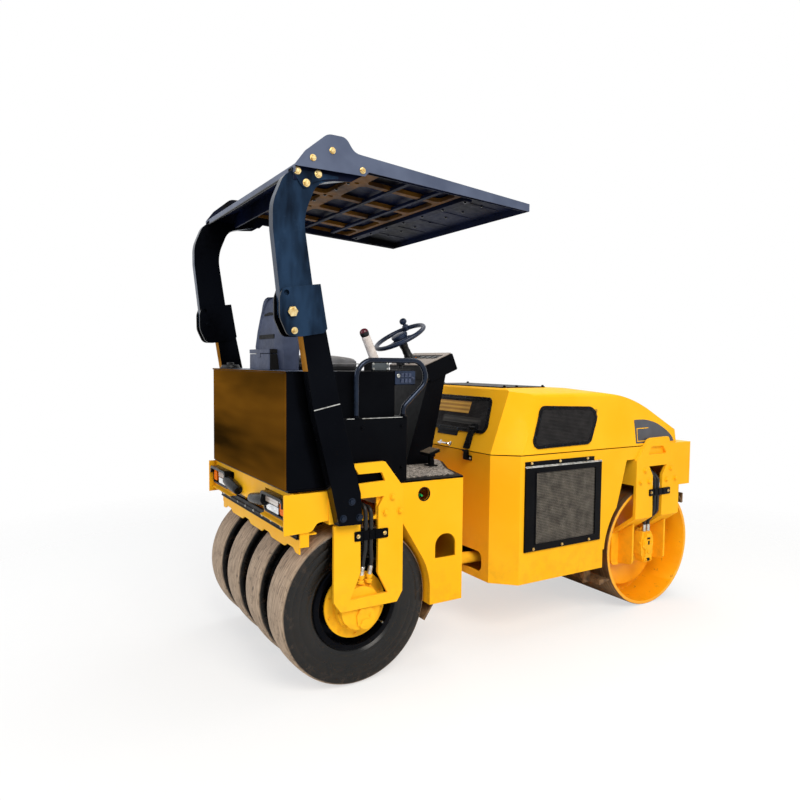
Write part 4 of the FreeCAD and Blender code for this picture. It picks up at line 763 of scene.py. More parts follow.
def dressNode(node, finish, edge=0.0, lining=(), cut=None, angle=34):
    # a smooth copy of a CAD node stands for it, with softened edges; a lining is more finishes,
    # each with the test, on a face's place and the way it looks, for where that one goes
    shape = bmesh.new()
    shape.from_mesh(frame["nodes"][node].data)
    bmesh.ops.remove_doubles(shape, verts=shape.verts, dist=0.002 * mm)
    bmesh.ops.dissolve_limit(shape, angle_limit=math.radians(0.2), verts=shape.verts,
                             edges=shape.edges, delimit=set())
    if cut:  # a level where one finish gives way to another
        bmesh.ops.bisect_plane(shape, geom=shape.verts[:] + shape.edges[:] + shape.faces[:],
                               plane_co=(0, 0, cut * mm), plane_no=(0, 0, 1), dist=0.01 * mm)
    for face in shape.faces:
        place = face.calc_center_median() / mm
        for k in range(0, len(lining), 2):
            if lining[k + 1](place, face.normal):
                face.material_index = k // 2 + 1
    return asPiece(shape, node + "_skin", *like(node), [finish, *lining[::2]], [node], edge, angle)


def keepNode(node, finish):  # the CAD node's own shape, with a better finish
    materials = frame["nodes"][node].data.materials
    materials.clear()
    materials.append(finish)

# plain steelwork, kept as the CAD gives it with softened edges

steelwork = {
    "rear_frame": (yellowEnamel, 1.5), "side_panels": (yellowEnamel, 2.0),
    "rear_forks": (yellowEnamel, 2.5), "rear_bumper": (yellowEnamel, 2.0),
    "rear_scraper": (yellowEnamel, 1.5), "wheel_motors": (yellowEnamel, 1.5),
    "front_frame": (yellowEnamel, 2.0), "front_forks": (yellowEnamel, 2.5),
    "drum_brackets": (yellowEnamel, 2.0), "drum_motors": (yellowEnamel, 2.0),
    "front_beam": (yellowEnamel, 2.0), "hood": (yellowEnamel, 10.0),
    "cylinder_barrel": (yellowEnamel, 1.5), "cylinder_rod": (hardChrome, 1.0),
    "front_scraper": (rustedSteel, 1.5), "drum_scrapers": (rustedSteel, 1.5),
    "floor_plate": (satinBlack, 1.5), "seat_box": (satinBlack, 5.0), "dash": (satinBlack, 4.0),
    "rear_tank": (blackEnamel, 6.0), "rops_legs": (blackEnamel, 3.0),
    # arms: black with painted sky reflection on the outer faces; roof underside: black with patches
    # of painted blue sky reflection
    "canopy_arms": (paintedSkyBlueBlack, 5.0), "canopy_roof": (underBlackPaintedSky, 1.2),
    "handrails": (railEnamel, 0.0), "right_rims": (blackEnamel, 1.5),
    "left_rims": (blackEnamel, 1.5), "steering_column": (blackPlastic, 1.0),
    "rear_hoses": (hoseRubber, 0.0),
    "front_hoses": (hoseRubber, 0.0), "floor_mat": (matSkin, 1.0),
    "drum_shell": (drumSkin, 2.0), "hood_top_plate": (satinBlack, 1.0),
}


def looksIn(limit):  # upright sheet that faces the middle of the machine, where painted shade goes
    return lambda place, normal: abs(place.y) < limit and (
        normal.y < -0.5 if place.y > 0 else normal.y > 0.5)


def highOutside(reach):
    return lambda place, normal: abs(place.y) > reach and abs(normal.y) > 0.7


linings = {
    # painted shade: inward faces of the side panels, frames and forks are black
    "side_panels": (paintedShadeBlack, looksIn(622)), "rear_frame": (paintedShadeBlack, looksIn(604)),
    "front_frame": (paintedShadeBlack, looksIn(588)), "rear_forks": (paintedShadeBlack, looksIn(633)),
    # legs: painted sky reflection on the cheeks' outer faces, painted warm reflection on the rear
    # faces below them
    "rops_legs": (paintedSkyBlueBlack, highOutside(700), ochreEnamel, lambda place, normal:
                  1566 < place.z < 1725 and normal.x < -0.5 and abs(place.y) < 690.5),
    "canopy_arms": (blackEnamel, lambda place, normal: place.y * normal.y < -0.5 * abs(place.y)),
    # roof: painted sky reflection on the outer sides, top, front and rear faces
    "canopy_roof": (paintedSkySlate, lambda place, normal: (
        abs(place.y) > 700 and place.y * normal.y > 500 or normal.z > 0.3 or normal.x > 0.7
        or place.x < back(-380) and normal.x < -0.7)),
    # tank: painted warm reflection on the rear face, painted sky reflection on the top
    "rear_tank": (paintedUmberReflection, lambda place, normal: normal.x < -0.7,
                  paintedSkySlate, lambda place, normal: normal.z > 0.7),
}
for node, (finish, edge) in steelwork.items():
    dressNode(node, finish, edge, linings.get(node, ()), {"rops_legs": 1566}.get(node))
keepNode("engine_block", castIron)
print("steelwork dressed")

# repeated small parts, each grown by its own tree


def startTree(name, inputs):
    tree = bpy.data.node_groups.new(name, "GeometryNodeTree")
    tree.interface.new_socket("Geometry", in_out="INPUT", socket_type="NodeSocketGeometry")
    for label, kind, value in inputs:
        socket = tree.interface.new_socket(label, in_out="INPUT", socket_type="NodeSocket" + kind)
        if value is not None:
            socket.default_value = value
    tree.interface.new_socket("Geometry", in_out="OUTPUT", socket_type="NodeSocketGeometry")
    node = partial(addNode, tree)
    return tree, node, node("NodeGroupInput")


def endTree(node, geometry, material):
    real = node("GeometryNodeRealizeInstances", geometry)
    painted = node("GeometryNodeSetMaterial", {"Geometry": real, "Material": material})
    node("NodeGroupOutput", painted)


def lifted(node, geometry, height):  # moved along its own axis
    place = node("vector", {2: height})
    return node("GeometryNodeTransform", {"Geometry": geometry, "Translation": place})


def pinned(node, given, part):  # one part on each point, turned to the point's own aim
    aim = node("GeometryNodeInputNamedAttribute", {"Name": "aim"}, data_type="FLOAT_VECTOR")
    turn = node("FunctionNodeAlignRotationToVector", {"Vector": aim}, axis="Z")
    return node("GeometryNodeInstanceOnPoints",
        {"Points": given.outputs["Geometry"], "Instance": part, "Rotation": turn})


def hexBoltTree():
    # washer, six-sided head with a turned top, each bolt stopped at its own angle
    tree, node, given = startTree("hexBolt", [
        ("Washer radius", "Float", 0.015), ("Washer height", "Float", 0.002),
        ("Head radius", "Float", 0.012), ("Head height", "Float", 0.008),
        ("Seed", "Int", 3), ("Material", "Material", None)])
    washer = node("GeometryNodeMeshCylinder", {"Vertices": 18,
        "Radius": given.outputs["Washer radius"], "Depth": given.outputs["Washer height"]})
    washer = lifted(node, washer, node("multiply", given.outputs["Washer height"], 0.5))
    prism = node("multiply", given.outputs["Head height"], 0.75)
    head = node("GeometryNodeMeshCylinder", {"Vertices": 6, "Radius": given.outputs["Head radius"],
        "Depth": prism})
    head = lifted(node, head, node("add", node("multiply", prism, 0.5),
        given.outputs["Washer height"]))
    crown = node("GeometryNodeMeshCone", {"Vertices": 12,
        "Radius Bottom": node("multiply", given.outputs["Head radius"], 0.74),
        "Radius Top": node("multiply", given.outputs["Head radius"], 0.62),
        "Depth": node("multiply", given.outputs["Head height"], 0.25)})
    crown = lifted(node, crown, node("add", prism, given.outputs["Washer height"]))
    bolt = node("GeometryNodeJoinGeometry")
    for part in (crown, head, washer):
        feed(bolt, {0: part})
    placed = pinned(node, given, bolt)
    chance = node("FunctionNodeRandomValue", {"Min": 0.0, "Max": 6.28,
        "Seed": given.outputs["Seed"]}, data_type="FLOAT")
    spin = node("vector", {2: chance})
    turned = node("GeometryNodeRotateInstances", {"Instances": placed, "Rotation": spin})
    endTree(node, turned, given.outputs["Material"])
    return tree


def wireTree():
    # wire cloth over a flat rectangle: two rows of round wires, woven one row over the other
    tree, node, given = startTree("wireCloth", [
        ("Width", "Float", 0.5), ("Height", "Float", 0.4), ("Pitch", "Float", 0.012),
        ("Wire", "Float", 0.002), ("Material", "Material", None)])
    rows = []
    for across, length, turn, layer in (("Height", "Width", (0, math.pi / 2, 0), 0.5),
                                        ("Width", "Height", (0, 0, 0), -0.5)):
        count = node("divide", given.outputs[across], given.outputs["Pitch"])
        shift = node("vector", {2 if across == "Height" else 0: given.outputs["Pitch"]})
        line = node("GeometryNodeMeshLine", {"Count": count, "Offset": shift})
        wire = node("GeometryNodeMeshCylinder", {"Vertices": 5, "Radius": given.outputs["Wire"],
            "Depth": given.outputs[length]})
        half = node("multiply", given.outputs[length], 0.5)
        start = node("vector", {0 if length == "Width" else 2: half,
            1: node("multiply", given.outputs["Wire"], layer)})
        wire = node("GeometryNodeTransform", {"Geometry": wire, "Translation": start,
            "Rotation": turn})
        rows.append(node("GeometryNodeInstanceOnPoints", {"Points": line, "Instance": wire}))
    cloth = node("GeometryNodeJoinGeometry")
    for row in rows:
        feed(cloth, {0: row})
    endTree(node, cloth, given.outputs["Material"])
    return tree


hexBolt, wireCloth3d = hexBoltTree(), wireTree()


def grown(name, tree, values, points=None, aims=None):
    # runs a tree on a set of points and keeps the mesh that it makes
    mesh = bpy.data.meshes.new(name)
    mesh.from_pydata([Vector(p) * mm for p in points or [(0, 0, 0)]], [], [])
    if aims:
        attribute = mesh.attributes.new("aim", "FLOAT_VECTOR", "POINT")
        attribute.data.foreach_set("vector", [c for aim in aims for c in aim])
    piece = bpy.data.objects.new(name, mesh)
    scene.collection.objects.link(piece)
    made = piece.modifiers.new("grow", "NODES")
    made.node_group = tree
    for socket in tree.interface.items_tree:
        if socket.in_out == "INPUT" and socket.name in values:
            made[socket.identifier] = values[socket.name]
    applyLive(piece)
    return piece


def setBolts(name, body, finish, spots, headAcross, height=None, washer=1.35):
    # spots are (place in millimetres, aim); head across its corners, in millimetres
    tall = height or headAcross * 0.36
    piece = grown(name, hexBolt, {
        "Washer radius": headAcross * washer / 2 * mm, "Washer height": headAcross * 0.08 * mm,
        "Head radius": headAcross / 2 * mm, "Head height": tall * mm,
        "Seed": len(spots) + 3, "Material": finish,
    }, [s[0] for s in spots], [s[1] for s in spots])
    smoothShaded(piece.data, 25)
    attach(piece, body)
    return piece


def boltRing(count, radius, x, y, z, aim=outward, start=0.5):  # evenly round an axle at x, z
    return [((x + u, y, z + v), aim) for u, v in circle(count, radius, start)]


def onSide(along, y, places):  # spots on an upright face that looks to the right
    return [((along(x), y, z), outward) for x, z in places]


def bothSides(spots):
    return [*spots, *[((p[0], -p[1], p[2]), (a[0], -a[1], a[2])) for p, a in spots]]


# tyres: slick rolling face, square shoulder, ringed sidewall

tyreSet = {  # points are (out from the middle, radius)
    "side": [
        (76, 213), (79, 222), (84, 233), (90, 240), (94, 247), (95.5, 252), (94.5, 256), (97, 263),
        (100.5, 274), (103, 286), (104.6, 298), (105.2, 308), (104.4, 310), (104.4, 312),
        (105.4, 314), (106, 330), (106, 346), (105, 348), (105, 351), (106, 353), (105.6, 368),
        (104.8, 380), (103.4, 387), (101, 391.5), (97, 394.5), (92, 396.6),
    ],
    "face": [(80, 398.8), (60, 400.9), (40, 402.2), (20, 402.8), (0, 403)],
    "steps": 120,
}


def makeTyres():
    half = tyreSet["side"] + tyreSet["face"]
    profile = [(-out, radius) for out, radius in half]
    profile += [(out, radius) for out, radius in reversed(half[:-1])]
    for name, y in tyreYs.items():
        shape = bmesh.new()
        addTurned(shape, profile, (rearX, y, tyreZ), across, tyreSet["steps"], ring=True)
        finishPiece(shape, name.replace("tyre", "slickTyre"), nodeBody[name], "tyre_rubber",
                    [tyreSkin], (name,), 0, 40)


makeTyres()


def wheelTrim():
    # nuts on the rim discs and the valve of each outer wheel
    for body, side in (("right_wheels", -1), ("left_wheels", 1)):
        outer = boltRing(8, 185, rearX, side * 494.6, tyreZ, (0, side, 0))
        inner = boltRing(8, 185, rearX, side * 153.6, tyreZ, (0, -side, 0))
        spots = [spot for pair in zip(outer, inner) for spot in pair]
        setBolts(body + "_nuts", body, blackEnamel, spots, 24, 10)
        foot = Vector((rearX + 150, side * 545, tyreZ - 118))
        makePiece(body + "_valve", body, "paint_black", [brightZinc], [
            (addTurned, [(0, 4), (16, 4), (17, 5.5), (28, 5.5), (30, 3)], foot, (0.3, side, -0.2),
                10),
        ])


wheelTrim()


def driveTrim():
    # flange bolts on the drive discs, the cast port face under each fork and its plugs
    face = tyreYs["right_outer_tyre"] - 80
    spots = boltRing(10, 150, rearX, face, tyreZ)
    spots += boltRing(8, 112, rearX, face - 34, tyreZ, start=0.25)
    setBolts("driveDiscBolts", "rear_frame", yellowEnamel, bothSides(spots), 13, 5)
    cast = [(28, -112, 10), (62, -84, 12), (68, -34, 12), (44, 2, 8), (-22, 2, 8), (-46, -34, 12),
            (-40, -84, 12), (-6, -112, 10)]
    port = [(rearX + u * 0.9 + 14, tyreZ + v * 0.92 - 2, r) for u, v, r in cast]
    slot = [(rearX + u * 0.45 + 16, tyreZ + v * 0.3 - 56, 4) for u, v, r in cast]
    makePiece("drivePortBlocks", "rear_frame", "paint_yellow", [yellowEnamel], [
        ("XZ", -629, -641, port),
        ("XZ", -641, -645, slot),
        (addTurned, [(0, 12), (5, 12), (6, 10), (9, 10), (9, 0)], (rearX - 2, -640, tyreZ - 84),
            outward, 6),
        (addTurned, [(0, 9), (4, 9), (5, 7), (8, 7), (8, 0)], (rearX + 46, -640, tyreZ - 38),
            outward, 6),
    ], edge=1.5, both=True)


driveTrim()
print("wheels done")

# rear frame: fork bolts, hose clamps, fittings, lamps, scraper bar

forkBolts = [(161, 944), (120, 871), (205, 872)]
legBolts = [(-85, 951), (-130, 875), (-44, 872)]
setBolts("rearForkBolts", "rear_frame", yellowEnamel,
         bothSides(onSide(back, -650, forkBolts)), 27, 13)
setBolts("legFootBolts", "rear_frame", railEnamel,
         bothSides(onSide(back, -690.3, legBolts)), 27, 10)

clampSet = {
    "rear": {"x": (back(-51), back(137)), "z": (745, 793), "y": -650, "body": "rear_frame"},
    "front": {"x": (ahead(-64), ahead(148)), "z": (746, 791), "y": -610.3, "body": "front_frame"},
}


def makeClamps():
    for name, clamp in clampSet.items():
        left, right = clamp["x"]
        low, high = clamp["z"]
        y = clamp["y"]
        makePiece(name + "HoseClamps", clamp["body"], "paint_black", [satinBlack], [
            ("XZ", y - 6, y - 0.3, oblong(left, low, right, high, 7)),
            *[("XZ", y - 9, y - 5.5, oblong(x - 13, low + 3, x + 13, high - 3, 3))
                for x in (left + 62, (left + right) / 2, right - 62)],
        ], edge=1.2, both=True)
        middle = (low + high) / 2
        setBolts(name + "ClampScrews", clamp["body"], yellowZinc,
                 bothSides([((x, y - 6, middle), outward) for x in (left + 20, right - 20)]), 15, 6)


makeClamps()


def makeFittings():
    # crimped ferrules on the hose ends and the enamelled adaptors that they screw into
    sets = (
        ("rear", "rear_frame", (Vector((0, -636, 640)), Vector((0, -616, 560))),
            (back(6), back(52))),
        ("front", "front_frame", (Vector((0, -534.3, 560)), Vector((0, -534.3, 490))),
         (ahead(-4), ahead(34))),
    )
    for name, body, (top, foot), places in sets:
        ferrules, adaptors = bmesh.new(), bmesh.new()
        aim = (foot - top).normalized()
        length = (foot - top).length
        for x in places:
            start = Vector((x, top.y, top.z)) + aim * length * 0.35
            profile = [(0, 12.4), (1, 13.6)]
            for k in range(4):
                profile += [(5 + k * 9, 13.6), (7 + k * 9, 12.7), (9 + k * 9, 12.7),
                    (11 + k * 9, 13.6)]
            profile += [(46, 13.6), (48, 12)]
            addTurned(ferrules, profile, start, aim, 16)
            nut = start + aim * 48
            addTurned(adaptors, [(-2, 12), (0, 17), (16, 17), (18, 14), (20, 12.5), (30, 12.5),
                                 (32, 19), (44, 19), (46, 16)], nut, aim,
                      6 if name == "front" else 12)
        addMirrored(ferrules)
        addMirrored(adaptors)
        finishPiece(ferrules, name + "HoseFerrules", body, "bright_steel", [brightZinc])
        finishPiece(adaptors, name + "HoseAdaptors", body, "paint_yellow", [yellowEnamel], (), 0.8)


makeFittings()

tailX = back(-355)  # outer face of the light panel
lampBox = {"inner": 256, "outer": 596, "low": 868, "high": 972, "face": back(-381), "hood": 22}


def makeTailLamps():
    # moulded rubber housing under a brow, metalled bowl, clear and amber lenses, fat cable boot
    face, inner, outer = lampBox["face"], lampBox["inner"] + 42, lampBox["outer"]
    low, high = lampBox["low"], lampBox["high"]
    rim = [(inner, low, 26), (outer, low, 20), (outer, high, 34), (inner, high, 40)]
    window = [(inner + 20, low + 9, 14), (outer - 13, low + 9, 12), (outer - 13, high - 15, 24),
              (inner + 20, high - 15, 34)]
    brow = [(inner + 2, high - 44, 2), (inner + 20, high - 44, 2), (inner + 20, high - 15, 22),
            (outer - 15, high - 15, 18), (outer - 15, high - 44, 2), (outer - 2, high - 44, 2),
            (outer - 2, high, 32), (inner + 2, high, 38)]
    path = [Vector((tailX - 22, y, z)) for y, z in ((320, 922), (280, 918), (230, 911), (180, 904),
                                                    (140, 899), (118, 897), (108, 896), (116, 896))]
    makePiece("tailLampHousings", "rear_frame", "trim_plastic", [gasketRubber], [
        ("YZ", face, tailX + 38, rim, [window]),
        ("YZ", tailX + 20, tailX + 36, [(p[0] * 0.999, p[1], p[2]) for p in window]),
        ("YZ", face - 18, face + 2, brow),
        (addTube, path, [27, 31, 32, 30, 28, 26, 22, 13], 20),
    ], edge=2.5, both=True, replaced=("tail_lamps",), angle=40)
    split, waist = outer - 94, (low + high) / 2 - 4
    makePiece("tailLampReflectors", "rear_frame", "bright_steel", [reflectorFoil], [
        ("YZ", tailX + 4, tailX + 20,
            [(inner + 21, low + 10, 14), (split - 11, low + 10, 4),
            (split - 11, high - 16, 12), (inner + 21, high - 16, 32)]),
        ("YZ", face + 5, face + 12, [(inner + 22, low + 11, 12),
            (split - 12, low + 11, 4), (split - 12, waist - 3, 3), (inner + 22, waist - 3, 3)]),
    ], edge=1.5, both=True)
    makePiece("tailLampClearLenses", "rear_frame", "lamp_lens", [clearLens], [
        ("YZ", face + 3, face + 9, [(inner + 22, waist + 1, 3),
            (split - 12, waist + 1, 3), (split - 12, high - 17, 12), (inner + 22, high - 17, 31)]),
    ], edge=2, both=True)
    makePiece("tailLampAmberLenses", "rear_frame", "lamp_lens", [amberLens], [
        ("YZ", face + 1, face + 30, [(split + 16, low + 18, 12),
            (outer - 16, low + 18, 18), (outer - 16, high - 20, 26), (split + 16, high - 20, 24)]),
    ], edge=2, both=True)


makeTailLamps()


def makeScraperBar():
    # black clamping bar with two pressed grooves that holds the tyre scraper's edge
    barX = back(-315)
    makePiece("scraperClampBar", "rear_frame", "paint_black", [satinBlack], [
        ("XZ", -600, 600, [(barX, 778), (barX, 832), (barX - 14, 832, 3),
            (barX - 14, 820, 2),
            (barX - 10, 817), (barX - 10, 808), (barX - 14, 805, 2), (barX - 14, 798, 2),
            (barX - 10, 795), (barX - 10, 786), (barX - 14, 783, 2), (barX - 14, 778, 3)]),
    ], edge=1)
    spots = [((barX - 14, y, 801.5), (-1, 0, 0)) for y in range(-540, 541, 135)]
    setBolts("scraperBarScrews", "rear_frame", brightZinc, spots, 11, 4)
    # folded lip under each lamp
    makePiece("lampPanelLips", "rear_frame", "paint_yellow", [yellowEnamel], [
        ("XZ", -600, -250, [(tailX - 1, 852), (tailX - 1, 842), (tailX - 26, 836),
            (tailX - 27, 840), (tailX - 4, 848), (tailX - 4, 852)]),
    ], edge=0.8, both=True)


makeScraperBar()
print("rear frame done")

# front frame: fork bolts, port blocks, grilles and what stands behind them

drumForkBolts = [(-107, 919), (-150, 846), (-66, 845), (152, 919), (111, 846), (201, 846)]
setBolts("drumForkBolts", "front_frame", yellowEnamel,
         bothSides(onSide(ahead, -610.3, drumForkBolts)), 27, 13)


def makePortBlocks():
    # cast end of each drum motor: two flanges joined by a waist, ports, plugs and cored holes
    def placed(points, radius):
        return [(drumX + p[0], drumZ + p[1], radius) for p in points]

    makePiece("drumPortBlocks", "front_frame", "paint_yellow", [yellowEnamel], [
        ("XZ", -559.5, -570, placed([(-34, -112), (34, -112), (40, -84), (24, -62),
            (26, -30), (50, -8), (50, 38), (30, 52), (30, 82), (-30, 82), (-30, 52), (-50, 38),
            (-50, -8), (-26, -30), (-24, -62), (-40, -84)], 6)),
        ("XZ", -569.5, -576, placed(oblong(-24, 56, 24, 80), 5)),
        ("XZ", -569.5, -574, placed(oblong(-40, -2, 40, 34), 10)),
        *[(addTurned, [(0, size), (6, size), (7, size - 3), (10, size - 3), (10, 0)],
            (drumX + u, -569, drumZ + v), outward, 6)
            for u, v, size in ((-24, 16, 12), (24, 16, 12), (0, -46, 13), (-24, -97, 9),
                (24, -97, 9))],
        *[(addTurned, [(0, 11), (10, 11), (12, 8), (12, 0)], (drumX + side * 50, -545, drumZ + 14),
            (side, 0, 0), 6) for side in (-1, 1)],
    ], edge=1.2, both=True)
    # painted shade: black in the cored holes of the port face
    makePiece("drumPortHoles", "front_frame", "paint_black", [paintedShadeBlack], [
        *[("XZ", -574.4, -569.8,
            placed(oblong(u - wide, v - tall, u + wide, v + tall), 3))
            for u, v, wide, tall in ((0, -97, 13, 9), (0, 16, 9, 13), (0, 45, 14, 4))],
    ], both=True)
    setBolts("drumMotorBolts", "front_frame", yellowEnamel,
             bothSides(boltRing(12, 86, drumX, -447, drumZ)), 16, 7)


makePortBlocks()

grilleSet = {
    "frame": oblong(-1134, 514, -506, 1014),
    "open": oblong(-1050, 556, -560, 976, 6),
    "strip": oblong(-1134, 1018, -566, 1044),
    "pitch": 9.5, "wire": 1.5, "face": -590,
}


def besideDrum(points):
    return [(ahead(p[0]), *p[1:]) for p in points]


def makeGrilles():
    # pressed steel frame with an outward lip under its screw strip, wire cloth, radiator behind
    face = grilleSet["face"]
    inner = besideDrum(grilleSet["open"])
    outer = [(p[0] + (9 if p[0] > ahead(-800) else -9), p[1] + (9 if p[1] > 700 else -9), 9)
             for p in inner]
    makePiece("grilleFrames", *like("side_grilles"), [satinBlack], [
        ("XZ", face - 11, face - 0.4, besideDrum(grilleSet["frame"]),
            [besideDrum(grilleSet["open"])]),
        ("XZ", face - 13.6, face - 10, outer, [inner]),
        ("XZ", face - 4, face - 0.4, besideDrum(grilleSet["strip"])),
    ], edge=1.2, both=True, replaced=("side_grilles",))
    # a bright strip on each lip: a painted highlight
    makePiece("grilleLips", "front_frame", "paint_black", [brightZinc], [
        ("YZ", ahead(-1134), ahead(-506), [(face - 0.4, 1018), (face - 4, 1018),
            (face - 13.8, 1011), (face - 13.8, 1008), (face - 10, 1009), (face - 0.4, 1014)]),
    ], edge=0.6, both=True)
    makePiece("radiatorCores", "front_frame", "mesh_black", [coreFins], [
        ("XZ", face - 2.4, face - 0.4, besideDrum(oblong(-1054, 552, -556, 980))),
    ], both=True)
    for side in (-1, 1):
        wide, high = 490, 420
        cloth = grown("grilleCloth%d" % (side > 0), wireCloth3d, {
            "Width": wide * mm, "Height": high * mm, "Pitch": grilleSet["pitch"] * mm,
            "Wire": grilleSet["wire"] * mm, "Material": wireCloth})
        corner = Vector((ahead(-1050), side * (6 - face), 556))
        cloth.data.transform(Matrix.Translation(corner * mm))
        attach(cloth, "front_frame")
    screws = [((ahead(x), face - 4, 1034), outward) for x in (-1084, -858, -626)]
    screws += [((ahead(x), face - 11, 528), outward) for x in (-1065, -835, -606)]
    setBolts("grilleScrews", "front_frame", yellowZinc, bothSides(screws), 13, 6)


makeGrilles()

# hood: windows, gaskets, latches, handles, decals, top plate

hoodLean = {"foot": 1083, "side": 584, "sideFall": 72 / 382, "rear": -144, "rearRun": 140 / 382}


def sideAt(z):  # y of the hood's right side at a height
    return -hoodLean["side"] + (z - hoodLean["foot"]) * hoodLean["sideFall"]


def rearAt(z):
    return hoodLean["rear"] + (z - hoodLean["foot"]) * hoodLean["rearRun"]


def layOnSide(shape):  # drawn upright with y counted from the hood's side, laid on its lean
    for vert in shape.verts:
        vert.co.y += sideAt(vert.co.z)


def layOnRear(shape):
    for vert in shape.verts:
        vert.co.x += rearAt(vert.co.z)


def grownIn(outline, distance):  # a straight-sided outline moved inwards by a distance
    points = [Vector(p[:2]) for p in outline]
    count = len(points)
    area = sum(points[i - 1].cross(points[i]) for i in range(count))
    turn = 1 if area > 0 else -1
    moved = []
    for i in range(count):
        before = (points[i] - points[i - 1]).normalized()
        after = (points[(i + 1) % count] - points[i]).normalized()
        first, second = Vector((-before.y, before.x)) * turn, Vector((-after.y, after.x)) * turn
        middle = first + second
        place = points[i] + middle * (distance / (1 + first.dot(second)))
        moved.append((place.x, place.y, max(outline[i][2] - distance, 2)))
    return moved


windowSet = {
    "side": [(-1083, 1112, 40), (-590, 1120, 62), (-466, 1345, 60), (-967, 1363, 44)],
    "rear": [(-384, 1190, 44), (384, 1190, 44), (342, 1405, 44), (-342, 1405, 44)],
    "gasket": 21, "pitch": 8, "wire": 0.9,
}


def clothOver(name, outline, plane, lay, depth):
    # wire cloth trimmed to a straight-sided window
    low = [min(p[k] for p in outline) for k in (0, 1)]
    high = [max(p[k] for p in outline) for k in (0, 1)]
    cloth = grown(name, wireCloth3d, {
        "Width": (high[0] - low[0]) * mm, "Height": (high[1] - low[1]) * mm,
        "Pitch": windowSet["pitch"] * mm, "Wire": windowSet["wire"] * mm, "Material": darkWire})
    shape = bmesh.new()
    shape.from_mesh(cloth.data)
    for vert in shape.verts:
        u, w, v = vert.co / mm
        vert.co = Vector((u + low[0], v + low[1], w))
    points = [Vector(p[:2]) for p in outline]
    area = sum(points[i - 1].cross(points[i]) for i in range(len(points)))
    for i, point in enumerate(points):
        along = point - points[i - 1]
        away = Vector((along.y, -along.x, 0)) * (1 if area > 0 else -1)
        bmesh.ops.bisect_plane(shape, geom=shape.verts[:] + shape.edges[:] + shape.faces[:],
                               plane_co=(point.x, point.y, 0), plane_no=away, clear_outer=True)
    bmesh.ops.holes_fill(shape, edges=[e for e in shape.edges if e.is_boundary])
    for vert in shape.verts:
        u, v, w = vert.co
        vert.co = standing(plane, u, v, w + depth)
    lay(shape)
    return shape, cloth


def addGasket(shape, plane, outline, bead):  # an outer bead, a groove and a lip over the cloth
    for lip, outer, inner in ((bead, 0, 7), (-5, 7.5, 12), (-8.5, 12.5, windowSet["gasket"])):
        addPlate(shape, plane, lip, -0.4, grownIn(outline, outer), [grownIn(outline, inner)])


def roundWindow(outline, shares):  # where its screws go; shares are for the long edges
    ring = [Vector(p[:2]) for p in grownIn(outline, 10)]
    places = []
    for i in range(4):
        isLong = (ring[i - 1] - ring[i]).length > 300
        places += [ring[i - 1].lerp(ring[i], share)
            for share in (shares if isLong else (0.3, 0.75))]
    return places


def makeWindows():
    sideOuter, rearOuter = besideDrum(windowSet["side"]), windowSet["rear"]
    gasket, rear = bmesh.new(), bmesh.new()
    addGasket(gasket, "XZ", sideOuter, -7.5)
    layOnSide(gasket)
    addMirrored(gasket)
    addGasket(rear, "YZ", rearOuter, -8)
    layOnRear(rear)
    both = bpy.data.meshes.new("gasketPart")
    rear.to_mesh(both)
    gasket.from_mesh(both)
    bpy.data.meshes.remove(both)
    finishPiece(gasket, "windowGaskets", "hood", "mesh_black", [gasketRubber], ("hood_screens",),
        1.2)
    # painted shade: black sheets behind the side and rear cloth
    makePiece("windowBaffles", "hood", "mesh_black", [paintedShadeBlack], [
        ("XZ", -1.6, -0.4, grownIn(sideOuter, 10)),
    ], lay=layOnSide, both=True)
    makePiece("rearBaffle", "hood", "mesh_black", [paintedShadeBlack], [
        ("YZ", -1.6, -0.4, grownIn(rearOuter, 10)),
    ], lay=layOnRear)
    makePiece("oilCoolerFaces", "hood", "mesh_black", [brassCore, coreFins], [
        ("YZ", -7.6, -6.4, oblong(-157, 1299, 206, 1371, 4)),
        ("YZ", -7.2, -6.2, oblong(-300, 1236, 90, 1278, 4), (), 1),
    ], lay=layOnRear)
    for side in (-1, 1):
        shape, cloth = clothOver("sideCloth%d" % (side > 0), grownIn(sideOuter, 14), "XZ",
                                 layOnSide, -5)
        if side > 0:
            for vert in shape.verts:
                vert.co.y = -vert.co.y
            bmesh.ops.reverse_faces(shape, faces=shape.faces[:])
        keepShape(shape, cloth, "hood")
    shape, cloth = clothOver("rearCloth", grownIn(rearOuter, 14), "YZ", layOnRear, -5)
    keepShape(shape, cloth, "hood")
    spots = [((p.x, sideAt(p.y) - 7.5, p.y), (0, -1, 0.19))
             for p in roundWindow(sideOuter, (0.2, 0.5, 0.8))]
    setBolts("sideWindowBolts", "hood", railEnamel, bothSides(spots), 9, 3)
    spots = [((rearAt(p.y) - 8, p.x, p.y), (-1, 0, 0.37))
             for p in roundWindow(rearOuter, (0.12, 0.37, 0.63, 0.88))]
    setBolts("rearWindowBolts", "hood", railEnamel, spots, 9, 3)


def keepShape(shape, piece, body):  # writes a changed shape back in metres
    for vert in shape.verts:
        vert.co *= mm
    mesh = bpy.data.meshes.new(piece.name)
    shape.to_mesh(mesh)
    shape.free()
    for material in piece.data.materials:
        mesh.materials.append(material)
    piece.data = mesh
    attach(piece, body)


makeWindows()


